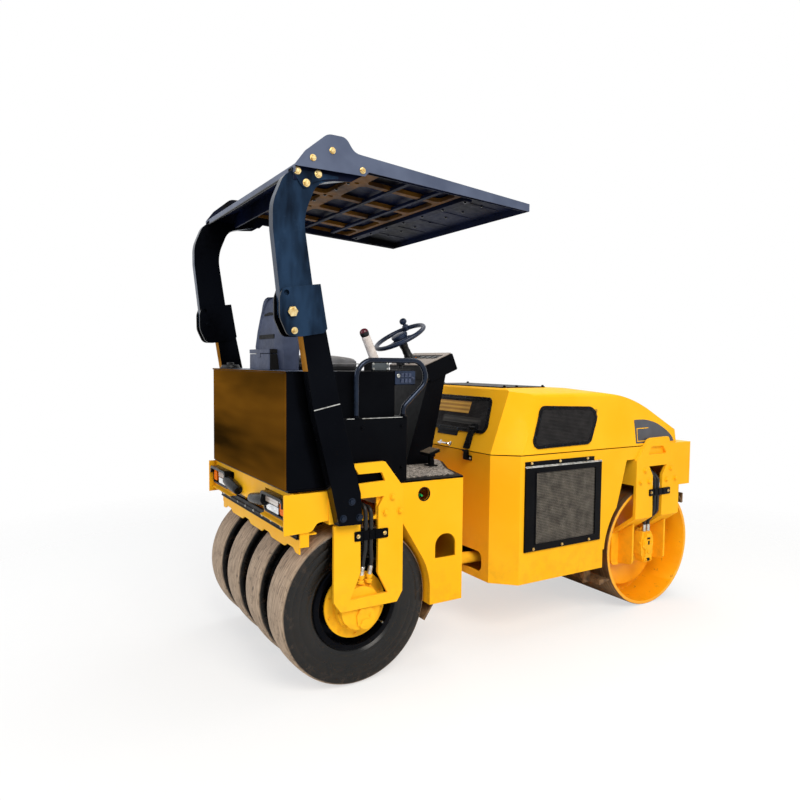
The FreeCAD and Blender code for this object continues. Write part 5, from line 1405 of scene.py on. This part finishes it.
def makeHoodTrim():
    # over-centre latch with its rubber strap and keeper, pull slot, chrome handle, top plate knobs
    makePiece("hoodLatchTop", "hood", "trim_plastic", [gasketRubber], [
        ("YZ", -26, -14, [(-284, 1096, 6), (-226, 1096, 6), (-232, 1204, 12),
            (-278, 1204, 12)]),
        ("YZ", -16, -0.4, [(-292, 1192, 8), (-218, 1192, 8), (-222, 1244, 14),
            (-288, 1244, 14)]),
        (addTurned, [(-30, 7), (30, 7)], (-20, -254, 1222), across, 14),
    ], edge=1.5, lay=layOnRear)
    makePiece("hoodLatchKeeper", "front_frame", "paint_black", [satinBlack], [
        ("YZ", -152, -144.4, oblong(-296, 1024, -214, 1056, 6)),
        ("YZ", -168, -150, [(-274, 1030, 6), (-236, 1030, 6), (-240, 1088, 6),
            (-270, 1088, 6)]),
        (addTurned, [(-26, 6), (26, 6)], (-164, -254, 1080), across, 12),
    ], edge=1.2)
    setBolts("latchScrews", "front_frame", brightZinc,
             [((-152, y, 1040), (-1, 0, 0)) for y in (-286, -224)], 13, 5)
    makePiece("hoodPullSlot", "hood", "paint_black", [satinBlack], [
        ("YZ", -3, -0.4, oblong(-105, 1157, 110, 1190, 7)),
        ("YZ", -9, -2, oblong(-109, 1180, 114, 1194, 3)),
    ], edge=1, lay=layOnRear)
    path = softCorners([(Vector(p), 16) for p in (
        (-2, 44, 1104), (-26, 44, 1106), (-26, -62, 1106), (-2, -62, 1104))], False)
    makePiece("hoodGrip", "hood", "bright_steel", [hardChrome], [
        (addTube, path, 5.5, 10),
        *[(addTurned, [(0, 13), (3, 13), (5, 8), (5, 0)], (-0.4, y, 1104), (-1, 0, 0), 18)
            for y in (44, -62)],
    ], lay=layOnRear)
    knobs = [((x, side * 384, 1471), upward) for side in (-1, 1)
             for x in (hoodLean["rear"] + 166, hoodLean["rear"] + 262, ahead(-816))]
    setBolts("topPlateKnobs", "hood", satinBlack, knobs, 17, 8)


makeHoodTrim()


def makeDecals():
    # charcoal swoosh on each side of the nose, a thin gold line inside its edge, no lettering
    top = [(-160, 1250), (-110, 1251), (-60, 1250), (-15, 1243), (30, 1232), (74, 1216),
           (114, 1196), (152, 1172), (183, 1148), (204, 1122), (214, 1098)]
    line = [(-146, 1196), (-30, 1197), (-30, 1192), (-141, 1191), (-150, 1114), (120, 1114),
            (120, 1109), (-155, 1109)]
    makePiece("hoodDecals", "hood", "paint_black", [decalGrey, yellowEnamel], [
        ("XZ", -1.1, -0.3, besideDrum([*top, (-168, 1098)])),
        ("XZ", -1.9, -1.0, besideDrum(line), (), 1),
    ], lay=layOnSide, both=True)


makeDecals()
print("front frame and hood done")

# canopy: gussets, gold bolts, fold pins, the stamping under the roof

roofSet = {
    "ridge": (-130, 2552), "fall": 82 / 1095, "half": 640,
    "gusset": [(-394, 2456, 4), (-110, 2448, 6), (-236, 2426), (-292, 2404, 30), (-330, 2374, 6),
               (-350, 2390, 4)],
    "rows": [(-84, 20), (96, 545)],
    "columns": [(-636, -466), (-424, -160), (-118, 118), (160, 424), (466, 636)],
}


def behindAxle(points):
    return [(back(p[0]), *p[1:]) for p in points]


def hungUnderRoof(shape):  # drawn level, then sloped with the roof sheet
    ridgeX, ridgeZ = roofSet["ridge"]
    for vert in shape.verts:
        vert.co.z += ridgeZ - (vert.co.x - back(ridgeX)) * roofSet["fall"]


def makeCanopyTrim():
    # gussets in black enamel with painted sky reflection
    makePiece("armGussets", "canopy", "paint_black", [paintedSkyBlueBlack], [
        ("XZ", -692.6, -686.2, behindAxle(roofSet["gusset"])),
    ], edge=1.5, both=True)
    setBolts("gussetBolts", "canopy", yellowZinc, bothSides(
        onSide(back, -692.6, ((-365, 2447), (-265, 2446), (-322, 2399)))), 26, 9)
    setBolts("humpBolts", "canopy", yellowZinc, bothSides(
        onSide(back, -717, ((-207, 2552), (-301, 2506), (-54, 2488)))), 25, 7, 1.2)
    pins = [((back(-394), -709, 1830), outward)]
    setBolts("foldPinHeads", "rear_frame", yellowZinc, bothSides(pins), 48, 8, 0.8)
    setBolts("cheekNuts", "rear_frame", yellowZinc,
             bothSides([((back(-381), -703, 1747), outward)]), 22, 9, 1.4)
    holes = []
    for near, far in roofSet["rows"]:
        for low, high in roofSet["columns"]:
            holes.append(oblong(back(near), low, back(far), high, 34))
    for y in (-445, -139, 139, 445):
        holes.append([(back(58) + u, y + v) for u, v in circle(10, 13)])
    half = roofSet["half"]
    makePiece("roofStamping", "canopy", "paint_black", [liningEnamel], [
        ("XY", -30, -8, oblong(back(-112), -half, back(570), half), holes),
    ], edge=2, lay=hungUnderRoof)
    # cross bars in black with patches of painted blue sky reflection
    makePiece("roofCrossBars", "canopy", "paint_black", [underBlackPaintedSky], [
        *[(addBlock, (back(near), -half, depth), (back(far), half, depth + 16))
            for near, far, depth in ((238, 262, -36), (428, 452, -36), (586, 634, -44))],
        (addBlock, (back(586), -half, -30), (back(592), half, -5)),
        (addBlock, (back(628), -half, -30), (back(634), half, -5)),
        *[(addBlock, (back(660), y - 14, -7), (back(920), y + 14, -4))
            for y in (-500, -250, 0, 250, 500)],
    ], edge=2, lay=hungUnderRoof)
    screws = []
    for x, step, z in ((610, 205, -44), (800, 170, -4.4), (25, 139, -30.6)):
        for k in range(-3, 4):
            if abs(k * step) < half:
                drop = z + roofSet["ridge"][1] - (x - roofSet["ridge"][0]) * roofSet["fall"]
                screws.append(((back(x), k * step, drop), (0, 0, -1)))
    setBolts("roofScrews", "canopy", blackEnamel, screws, 15, 5)
    # rolled rubber edging on the rear lip
    makePiece("roofLipEdging", "canopy", "paint_black", [gasketRubber], [
        (addTube, [Vector((back(-384) - 2, y, 2436)) for y in (-640, 640)], 5, 10),
    ])


makeCanopyTrim()
print("canopy done")

# seat: two cloth cushions on a pan, moulded back with its lidded box

seatSet = {
    "pad": {"low": (-146, -232, 1583), "high": (203, 232, 1630), "puff": 11, "voxel": 6},
    "rest": {"low": (-196, -205, 1668), "high": (-165, 205, 1935), "puff": 9, "voxel": 6},
    "fill": 0.6,  # how full the foam is packed
}


def foamBlock(name, plane, near, far, outline):  # as cut, before its cover is blown up
    shape = bmesh.new()
    addPlate(shape, plane, near, far, outline)
    bmesh.ops.recalc_face_normals(shape, faces=shape.faces)
    bmesh.ops.scale(shape, vec=(mm, mm, mm), verts=shape.verts)
    mesh = bpy.data.meshes.new(name)
    shape.to_mesh(mesh)
    shape.free()
    mesh.materials.append(vinylSkin)
    piece = bpy.data.objects.new(name, mesh)
    scene.collection.objects.link(piece)
    return piece


def blownUp(piece, voxel, limit):
    # the cover is blown up like a cloth bag over its foam, so it creases by itself
    made = piece.modifiers.new("even", "REMESH")
    made.mode = "VOXEL"
    made.voxel_size = voxel * mm
    applyLive(piece)
    before = [v.co.copy() for v in piece.data.vertices]
    cloth = piece.modifiers.new("cover", "CLOTH")
    cloth.settings.quality = 6
    cloth.settings.mass = 0.4
    cloth.settings.tension_stiffness = 12
    cloth.settings.compression_stiffness = 6
    cloth.settings.shear_stiffness = 5
    cloth.settings.bending_stiffness = 0.4
    cloth.settings.use_pressure = True
    cloth.settings.uniform_pressure_force = 4
    cloth.settings.effector_weights.gravity = 0
    for frameNumber in range(1, 21):
        scene.frame_set(frameNumber)
    applyLive(piece)
    scene.frame_set(1)
    for vert, start in zip(piece.data.vertices, before):
        moved = vert.co - start
        if moved.length > limit * mm:
            vert.co = start + moved.normalized() * limit * mm
    finer = piece.modifiers.new("finer", "SUBSURF")
    finer.levels = 1
    applyLive(piece)


def keepInside(piece, low, high):
    for vert in piece.data.vertices:
        vert.co = Vector([min(max(vert.co[k], low[k] * mm), high[k] * mm) for k in range(3)])


def covered(piece):
    smoothShaded(piece.data, 60)
    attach(piece, "rear_frame")


def makeSeat():
    base = seatSet["pad"]
    low = (back(base["low"][0]), *base["low"][1:])
    high = (back(base["high"][0]), *base["high"][1:])
    pad = foamBlock("seatPad", "XY", low[2], high[2], oblong(low[0], low[1], high[0], high[1], 46))
    blownUp(pad, base["voxel"], base["puff"])
    for vert in pad.data.vertices:  # crowned at the middle, dished where it is sat on
        x = (vert.co.x / mm - low[0]) / (high[0] - low[0])
        y = vert.co.y / mm / 232
        if vert.co.z / mm > 1600:
            vert.co.z += mm * (13 * (1 - y * y) * (1 - (1.6 * x - 0.6) ** 2)
                               - 16 * max(0, (x - 0.5) * 2) ** 1.6)
    for vert in pad.data.vertices:  # two stitched channels fore and aft, one across
        if vert.co.z / mm > 1600:
            sunk = math.exp(-((abs(vert.co.y / mm) - 128) / 5) ** 2)
            sunk += math.exp(-((vert.co.x / mm - back(128)) / 5) ** 2) * (abs(vert.co.y / mm) < 128)
            vert.co.z -= 4 * min(sunk, 1) * mm
    keepInside(pad, (back(-149.5), -239.5, 1580), (back(211.5), 239.5, 1645))
    covered(pad)
    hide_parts("seat_cushion")
    edge = [(Vector((back(x), y, 1601)), bend) for x, y, bend in oblong(-148, -236, 207, 236, 50)]
    makePiece("seatPiping", *like("seat_cushion"), [vinylSkin], [
        (addTube, softCorners(edge, True, 8), 2.8, 8, 0, True)])
    makePiece("seatPan", *like("seat_back"), [blackPlastic], [
        ("XY", 1567, 1586, behindAxle([(-146, -228, 30), (200, -228, 40), (200, 228, 40),
            (-146, 228, 30)])),
    ], edge=3)

    rest = seatSet["rest"]
    piece = foamBlock("seatRest", "YZ", back(rest["low"][0]), back(rest["high"][0]), [
        (-205, 1668, 40), (205, 1668, 40), (205, 1748, 90), (118, 1938, 46), (-118, 1938, 46),
        (-205, 1748, 90)])
    blownUp(piece, rest["voxel"], rest["puff"])
    for vert in piece.data.vertices:  # two stitched channels across, and the lean of the back
        z = vert.co.z / mm
        if vert.co.x / mm > back(-180):
            sunk = math.exp(-((z - 1770) / 5) ** 2) + math.exp(-((z - 1860) / 5) ** 2)
            sunk *= abs(vert.co.y / mm) < 200
            vert.co.x -= 4 * min(sunk, 1) * mm
        vert.co.x -= (z - 1668) * 0.055 * mm
    keepInside(piece, (back(-232), -234, 1650), (back(-152.5), 234, 1960.5))
    covered(piece)
    makeSeatShell()


def makeSeatShell():
    # polypropylene back: curved wings, tapered flat panel sunk in it, slot, lidded box below
    rows = [  # z, panel half-width, panel x, wing half-width, wing front x
        (1567, 150, -248, 233, -166), (1610, 150, -252, 234, -166), (1668, 150, -262, 234, -164),
        (1690, 150, -264, 235, -160), (1776, 141, -255, 235, -158), (1840, 130, -246, 206, -166),
        (1885, 118, -239, 172, -174), (1920, 104, -232, 146, -184), (1942, 86, -226, 122, -192),
        (1954, 64, -220, 94, -200), (1960.5, 30, -214, 50, -206),
    ]
    shape = bmesh.new()
    rings = []
    for z, half, rear, wing, front in rows:
        ring = []
        for y, x in ((-wing, front), (-wing, front - 14),
                     (-(wing + half) / 2 - 6, (rear + front) / 2 - 22), (-half, rear),
                     (-half + 10, rear - 0.5), (-half * 0.84, rear + 9), (0, rear + 8)):
            ring.append((x, y))
        ring += [(x, -y) for x, y in reversed(ring[:-1])]
        rings.append([shape.verts.new((back(x), y, z)) for x, y in ring])
    front = []
    for z, half, rear, wing, edge in rows:
        front.append([shape.verts.new((back(edge + 6), y, z)) for y in (-wing + 8, 0, wing - 8)])
    count = len(rings[0])
    for i in range(len(rings) - 1):
        for k in range(count - 1):
            shape.faces.new((rings[i][k], rings[i][k + 1], rings[i + 1][k + 1], rings[i + 1][k]))
        for k in range(2):
            shape.faces.new((front[i][k], front[i][k + 1], front[i + 1][k + 1], front[i + 1][k]))
        shape.faces.new((rings[i][0], rings[i + 1][0], front[i + 1][0], front[i][0]))
        shape.faces.new((rings[i][-1], front[i][-1], front[i + 1][-1], rings[i + 1][-1]))
    for i in (0, len(rings) - 1):
        shape.faces.new([*rings[i], *reversed(front[i])])
    finishPiece(shape, "seatShell", *like("seat_back"), [seatShell], ("seat_back",), 2.5, 30)
    # painted shade: black in the recessed handle slot and in the groove under the arched head
    makePiece("seatBackSlot", *like("seat_back"), [paintedShadeBlack], [
        ("YZ", back(-256), back(-240), [(-114, 1732, 6), (114, 1732, 6), (112, 1754, 6),
            (-112, 1754, 6)]),
        ("YZ", back(-238), back(-226), [(-84, 1858, 4), (84, 1858, 4), (76, 1868, 6),
            (0, 1876, 60), (-76, 1868, 6)]),
    ])

    # painted shade: the box's two side faces are black
    def paintedShadeEnds(box):
        for face in box.faces:
            face.normal_update()
            face.material_index = int(abs(face.normal.y) > 0.7)

    makePiece("seatBackBox", *like("seat_back"), [seatShell, paintedShadeBlack], [
        ("XY", 1567, 1650, behindAxle([(-297, -160, 14), (-241, -160, 4), (-241, 160, 4),
            (-297, 160, 14)])),
        ("XY", 1653, 1675, behindAxle([(-298.5, -162.5, 15), (-240, -162.5, 4),
            (-240, 162.5, 4), (-298.5, 162.5, 15)])),
        ("YZ", back(-298.8), back(-296), oblong(-26, 1630, 26, 1660, 4)),
    ], edge=3, lay=paintedShadeEnds)


makeSeat()
print("seat done")

# operator's station: dash, switches, levers, pedal, rails

pedalRubber = mouldedPlastic("dustyPedalRubber", {  # black rubber, walked tan with site dust
    "colour": "#4E453B", "second": "#6B5F50", "patch": 24, "dust": "#A39078", "dustShare": 0.5,
    "rough": (0.7, 0.9), "grain": 4, "grainDepth": 0.3,
})
dashSet = {"corner": (637, 1592), "far": (834, 1671), "half": 210}


def onDash(shape):
    # drawn level with x along the panel from its near edge, then tilted with the box
    (nearX, nearZ), (farX, farZ) = dashSet["corner"], dashSet["far"]
    turn = Matrix.Rotation(-math.atan2(farZ - nearZ, farX - nearX), 4, "Y")
    for vert in shape.verts:
        vert.co = turn @ vert.co + Vector((back(nearX), 0, nearZ))


def makeDash():
    # dusty moulded top, sunk dark strip with blank gauges, tell-tales and a key switch
    makePiece("dashTopCover", *like("dash"), [dashTop], [
        ("XY", 0.2, 5, oblong(3, -206, 208, 206, 8), [oblong(108, -178, 168, 178, 6)]),
    ], edge=1.2, lay=onDash)
    makePiece("dashInstruments", *like("dash"), [blackPlastic], [
        ("XY", 0.2, 2, oblong(106, -180, 170, 180, 6)),
        *[(addTurned, [(0, size), (3, size), (3.4, size - 4), (1.6, size - 4), (1.6, 0)],
            (138, y, 1.8), upward, 28) for y, size in ((-120, 21), (-62, 21), (8, 21))],
        *[(addTurned, [(0, 7), (4, 7), (5, 4), (5, 0)], (121, y, 1.8), upward, 14)
            for y in (60, 82, 104, 126)],
        *[("XY", 1.8, 6, oblong(140, y - 9, 158, y + 9, 2)) for y in (66, 96, 126)],
        (addTurned, [(0, 10), (5, 10), (6, 8), (6, 0)], (138, 158, 1.8), upward, 18),
    ], edge=0.6, lay=onDash)
    makePiece("gaugeFaces", *like("dash"), [greyPlastic], [
        *[(addTurned, [(0, 16.6), (0.6, 16.6), (0.6, 0)], (138, y, 3.5), upward, 28)
            for y in (-120, -62, 8)],
    ], lay=onDash)
    makePiece("tellTales", *like("dash"), [amberLens], [
        *[(addTurned, [(0, 4.6), (1.6, 4), (2.2, 0)], (121, y, 6.7), upward, 12)
            for y in (60, 104)],
    ], lay=onDash)
    screws = [((back(x), -210, z), outward) for x, z in ((654, 1568), (822, 1634), (862, 1582))]
    setBolts("dashScrews", "rear_frame", satinBlack, bothSides(screws), 11, 4)


def makeSwitches():
    # switch panel on the side of the bench, star knob on top of it
    left, right = back(216), back(336)
    rockers = [(left + x, z) for x in (40, 62, 84) for z in (1519, 1547)]

    def paleFronts(panel):
        for face in panel.faces:
            face.material_index = int(face.calc_center_median().y < -580.9)

    makePiece("switchPanel", *like("seat_box"), [wheelPlastic, seatShell], [
        ("XZ", -576, -572.2, oblong(left, 1500, right, 1568, 6)),
        *[("XZ", -581, -575.5, oblong(x - 8, z - 10, x + 8, z + 10, 2))
            for x, z in rockers],
        *[("XZ", -585, -580.5, oblong(x - 5, z - 1, x + 5, z + 7, 1))
            for x, z in rockers],
        (addTurned, [(0, 8), (5, 8), (6, 5), (14, 5), (15, 3)], (right - 18, -575.6, 1530), outward,
            18),
    ], edge=0.8, lay=paleFronts)
    makePiece("keySwitch", *like("seat_box"), [brightZinc], [
        (addTurned, [(0, 10), (5, 10), (6, 8), (6, 0)], (left + 17, -576, 1544), outward, 22),
        ("XZ", -590, -581, [(left + 15, 1540), (left + 19, 1540), (left + 19, 1552, 2),
            (left + 15, 1552, 2)]),
    ], edge=0.5)
    knobX, knobY, knobZ = back(293), -500, 1580
    lobes = [(knobX + u, knobY + v, knobZ) for u, v in circle(6, 17)]
    makePiece("starKnob", *like("seat_box"), [blackPlastic], [
        (addTurned, [(0, 12), (16, 10), (17, 17), (30, 17), (32, 12), (32, 0)],
            (knobX, knobY, knobZ), upward, 20),
        *[(addTurned, [(17, 7), (29, 7), (31, 4), (31, 0)], lobe, upward, 12) for lobe in lobes],
    ], edge=1)
    # small plated levers in the gap behind the knob
    levers = [(Vector((back(x) - 40, y, 1566)), lean)
              for x, y, lean in ((238, -380, 0.25), (252, -340, -0.1))]
    makePiece("smallLevers", *like("seat_box"), [brightZinc], [
        (addTube, [foot, foot + Vector((40 * lean, 0, 44)), foot + Vector((70 * lean, 4, 62))], 4,
            10)
        for foot, lean in levers])
    makePiece("smallLeverKnobs", *like("seat_box"), [maroonPlastic], [
        (addTurned, [(0, 5), (3, 9), (12, 11), (20, 9), (24, 0)],
            foot + Vector((70 * lean, 4, 58)), (lean, 0, 1), 16)
        for foot, lean in levers])


def makeTravelLever():
    # pleated white boot on the lever, two-coloured grip, grey box with a screwed cover
    foot, head = Vector((back(166), -458, 1614)), Vector((back(104), -450, 1760))
    aim = (head - foot).normalized()
    length = (head - foot).length
    profile = [(-2, 26), (3, 26)]
    for k in range(11):
        along = 5 + k * 11.5
        width = 24 - k * 0.1
        profile += [(along, width - 1.2), (along + 5.5, width + 0.4)]
    profile += [(length - 20, 22), (length - 18, 15)]
    makePiece("leverBoot", *like("drive_lever"), [whiteVinyl], [
        (addTurned, profile, foot, aim, 28),
    ], replaced=("drive_lever",), angle=60)
    makePiece("leverGrip", *like("drive_lever"), [blackPlastic, maroonPlastic], [
        (addTurned, [(-22, 16), (-16, 21), (-6, 23.4, 0), (4, 23.6, 1), (13, 21, 1), (20, 14, 1),
            (23, 6, 1), (23.4, 0)], head, aim, 28),
    ], angle=60)
    makePiece("leverBoxCover", *like("seat_box"), [greyPlastic], [
        ("XZ", -503.4, -500.2, oblong(back(122), 1570, back(220), 1611, 8)),
        (addBlock, (back(119), -499, 1614.2), (back(223), -421, 1616.4)),
    ], edge=0.8)
    setBolts("leverBoxScrews", "rear_frame", brightZinc,
             [((back(x), -503.4, z), outward) for x in (130, 212) for z in (1577, 1603)], 9, 3)


def makePedal():
    # ribbed rubber pad over a steel pedal on its bent stem
    turn = Matrix.Rotation(-math.atan2(36, 116), 4, "Y")

    def onPedal(pad):
        for vert in pad.verts:
            vert.co = turn @ vert.co + Vector((back(580), 0, 1088))

    makePiece("brakePedalPad", *like("brake_pedal"), [satinBlack, pedalRubber], [
        ("XY", -8, 7, oblong(0, -352, 82, -248, 12)),
        *[(addBlock, (5 + k * 12.6, -346, 6), (11 + k * 12.6, -254, 11), 1) for k in range(6)],
    ], edge=1, lay=onPedal, replaced=("brake_pedal",))
    makePiece("brakePedalStem", *like("brake_pedal"), [satinBlack], [
        ("XZ", -310, -290, [(back(614), 1018), (back(646), 1018), (back(640), 1096, 4),
            (back(613), 1088, 4)]),
        (addTurned, [(-34, 9), (34, 9)], (back(626), -300, 1082), across, 16),
        ("XY", 1017.4, 1024, oblong(back(600), -335, back(656), -265, 8)),
    ], edge=1.2)


def makeStationTrim():
    # rail feet, painted highlight along the ledge's edge, tank cap, bench bolts
    makePiece("railFeet", *like("handrails"), [blackEnamel], [
        *[(addTurned, [(0, 24), (4, 24), (5, 17), (14, 15.5)], (back(x), -599, 1337.3), upward, 22)
            for x in (-18, 250)],
    ], edge=0.8, both=True)
    makePiece("ledgeEdges", *like("seat_box"), [brightZinc], [
        ("XZ", -613.4, -608, oblong(back(8), 1334.6, back(240), 1337.6)),
        ("XZ", -613.4, -608, oblong(back(-76), 1334.6, back(-34), 1337.6)),
    ], edge=0.4, both=True)
    # painted highlight: a bright strip across each leg
    makePiece("legWelds", "rear_frame", "paint_black", [brightZinc], [
        ("XZ", -691.8, -690, [(back(-281), 1386, 1), (back(-150), 1414, 1),
            (back(-151), 1418.5, 1), (back(-282), 1390.5, 1)]),
    ], both=True)
    bolts = [((back(x), -612, z), outward) for x in (10, 236) for z in (1080, 1290)]
    bolts += [((back(268), y, z), (1, 0, 0)) for y in (-470, -160, 160, 470) for z in (1070, 1300)]
    setBolts("benchBolts", "rear_frame", satinBlack,
             [*bolts, *[((p[0], -p[1], p[2]), across) for p, a in bolts if a == outward]], 16, 6)
    makePiece("tankCap", *like("rear_tank"), [blackPlastic], [
        (addTurned, [(0, 62), (6, 62), (7, 54), (14, 52), (20, 50), (22, 44), (22, 0)],
            (back(-330), 400, 1566.2), upward, 36),
        (addTurned, [(20, 20), (34, 20), (37, 16), (37, 0)], (back(-330), 400, 1566.2), upward, 24),
    ], edge=1.2)
    # rubber-lipped hole in each side panel with a cable plug inside
    makePiece("panelGrommets", *like("side_panels"), [gasketRubber], [
        (addTurned, [(0, 35), (0, 33), (-6, 33), (-6, 35.5), (-1, 37), (2, 37), (3, 35)],
            (back(364), -630, 935), outward, 32, 0, True),
    ], both=True)
    makePiece("cablePlugs", *like("side_panels"), [greenPlastic], [
        (addTurned, [(0, 8), (14, 8), (24, 5), (26, 0)], (back(356), -598, 925), outward, 18),
        (addTube, [Vector((back(356), -604, 925)), Vector((back(330), -596, 905)),
            Vector((back(280), -594, 890))], 6, 10),
    ], both=True)


def makeSteeringWheel():
    # thick foam rim with finger bumps under it, dished spokes, horn pad, spinner knob, column boot
    tilt = math.radians(29)
    aim = Vector((-math.sin(tilt), 0, math.cos(tilt)))
    centre = Vector((back(591), 0, 1766))
    wheel = bmesh.new()
    reach = 157
    ring = [Vector((u, v, 0)) for u, v in circle(72, reach)]
    addTube(wheel, ring, [13.2 + 0.4 * (k % 2) for k in range(72)], 14, 0, True)
    for k in range(3):
        turn = math.radians(60 + 120 * k)
        side = Vector((-math.sin(turn), math.cos(turn), 0))
        out = Vector((math.cos(turn), math.sin(turn), 0))
        corners = []
        for along, wide, drop in ((20, 21, -14), (70, 15, -16), (120, 15, -10), (reach, 17, -3)):
            for edge, depth in ((-1, -5), (1, -5), (1, 5), (-1, 5)):
                place = out * along + side * wide * edge + Vector((0, 0, drop + depth))
                corners.append(wheel.verts.new(place))
        for step in range(3):
            for m in range(4):
                n = (m + 1) % 4
                wheel.faces.new((corners[step * 4 + m], corners[step * 4 + n],
                                 corners[step * 4 + 4 + n], corners[step * 4 + 4 + m]))
        wheel.faces.new(corners[:4])
        wheel.faces.new(corners[12:])
    addTurned(wheel, [(-34, 30), (-20, 38), (-4, 48), (6, 52), (14, 50), (19, 38), (20, 0)],
              (0, 0, 0), upward, 40)
    knob = Vector((148 * math.cos(math.radians(38)), 148 * math.sin(math.radians(38)), 0))
    addTurned(wheel, [(-10, 19), (10, 21), (22, 19), (27, 12), (32, 11), (36, 16), (41, 21),
                      (52, 23), (62, 20), (69, 12), (71, 0)], knob, upward, 24)
    turned = Vector(upward).rotation_difference(aim).to_matrix()
    for vert in wheel.verts:
        vert.co = turned @ vert.co + centre
    finishPiece(wheel, "steeringWheelSkin", *like("steering_wheel"), [wheelPlastic],
                ("steering_wheel",), 0, 50)
    makePiece("columnBoot", *like("steering_column"), [blackPlastic], [
        (addTurned, [(-46, 20), (-50, 27), (-66, 26), (-70, 24), (-92, 23), (-96, 25), (-118, 24),
            (-122, 27), (-140, 28)], centre, aim, 28),
    ], angle=40)


makeSteeringWheel()
makeDash()
makeSwitches()
makeTravelLever()
makePedal()
makeStationTrim()
print("operator's station done")

# stage, light and finish

stageSet = {"floor": 9.0, "fade": (2.2, 5.0), "air": 0.6}


def paleFloor():
    # matt painted studio floor that fades into the white air a few metres out
    material, node, shader, place = startMaterial("paleStudioFloor")
    feed(shader, {
        "Base Color": node("blend", node("noise", place, per(900), 2, 0.55), "#F2F2F0", "#F6F6F4"),
        "Roughness": 0.9,
    })
    axes = node("axes", place)
    away = node("power", node("add", node("multiply", axes.outputs[0], axes.outputs[0]),
        node("multiply", axes.outputs[1], axes.outputs[1])), 0.5)
    gone = node("span", away, stageSet["fade"][0], stageSet["fade"][1])
    # part of what the camera sees is white air, so the floor reads white and keeps a soft shadow
    seen = node("lightPath").outputs["Is Camera Ray"]
    glow = node("ShaderNodeEmission", {"Strength": 1.0})
    lit = node("mixShader", node("multiply", seen, stageSet["air"]), shader.outputs[0], glow)
    air = node("ShaderNodeBsdfTransparent")
    mixed = node("mixShader", gone, lit, air)
    feed(material.node_tree.nodes["Material Output"], {"Surface": mixed})
    return material


floorMesh = bpy.data.meshes.new("studioFloor")
reach = stageSet["floor"]
floorMesh.from_pydata(oblong(-reach, -reach, reach, reach), [], [(0, 1, 2, 3)])
floorMesh.materials.append(paleFloor())
floor = bpy.data.objects.new("studioFloor", floorMesh)
scene.collection.objects.link(floor)

world = bpy.data.worlds.new("studioAir")
world.use_nodes = True
scene.world = world
world.node_tree.nodes.clear()
node = partial(addNode, world.node_tree)
ray = node("lightPath")
seen = node("maximum", ray.outputs["Is Camera Ray"], ray.outputs["Is Glossy Ray"])
seen = node("maximum", seen, ray.outputs["Is Transmission Ray"])
ambient = node("ShaderNodeBackground", {"Color": "#F0F3F8", "Strength": 0.42})
backdrop = node("ShaderNodeBackground", {"Color": "#FFFFFF", "Strength": 1.0})
mixed = node("mixShader", seen, ambient, backdrop)
node("ShaderNodeOutputWorld", mixed)

lampSet = {
    "key": {"place": (-1.5, -6.0, 6.0), "size": 4.0, "watts": 470, "colour": "#FFF9F0"},
    "fill": {"place": (-6.5, 1.0, 3.5), "size": 4.5, "watts": 140, "colour": "#F2F6FF"},
    "top": {"place": (1.5, 0.5, 7.0), "size": 5.0, "watts": 230, "colour": "#FFFFFF"},
}
for name, lamp in lampSet.items():
    data = bpy.data.lights.new(name + "Lamp", "AREA")
    data.shape = "SQUARE"
    data.size = lamp["size"]
    data.energy = lamp["watts"]
    data.color = linear(lamp["colour"])[:3]
    made = bpy.data.objects.new(name + "Lamp", data)
    scene.collection.objects.link(made)
    made.location = lamp["place"]
    made.rotation_mode = "QUATERNION"
    made.rotation_quaternion = (Vector((0, 0, 0.9)) - Vector(lamp["place"])).to_track_quat("-Z",
        "Y")
print("stage ready")
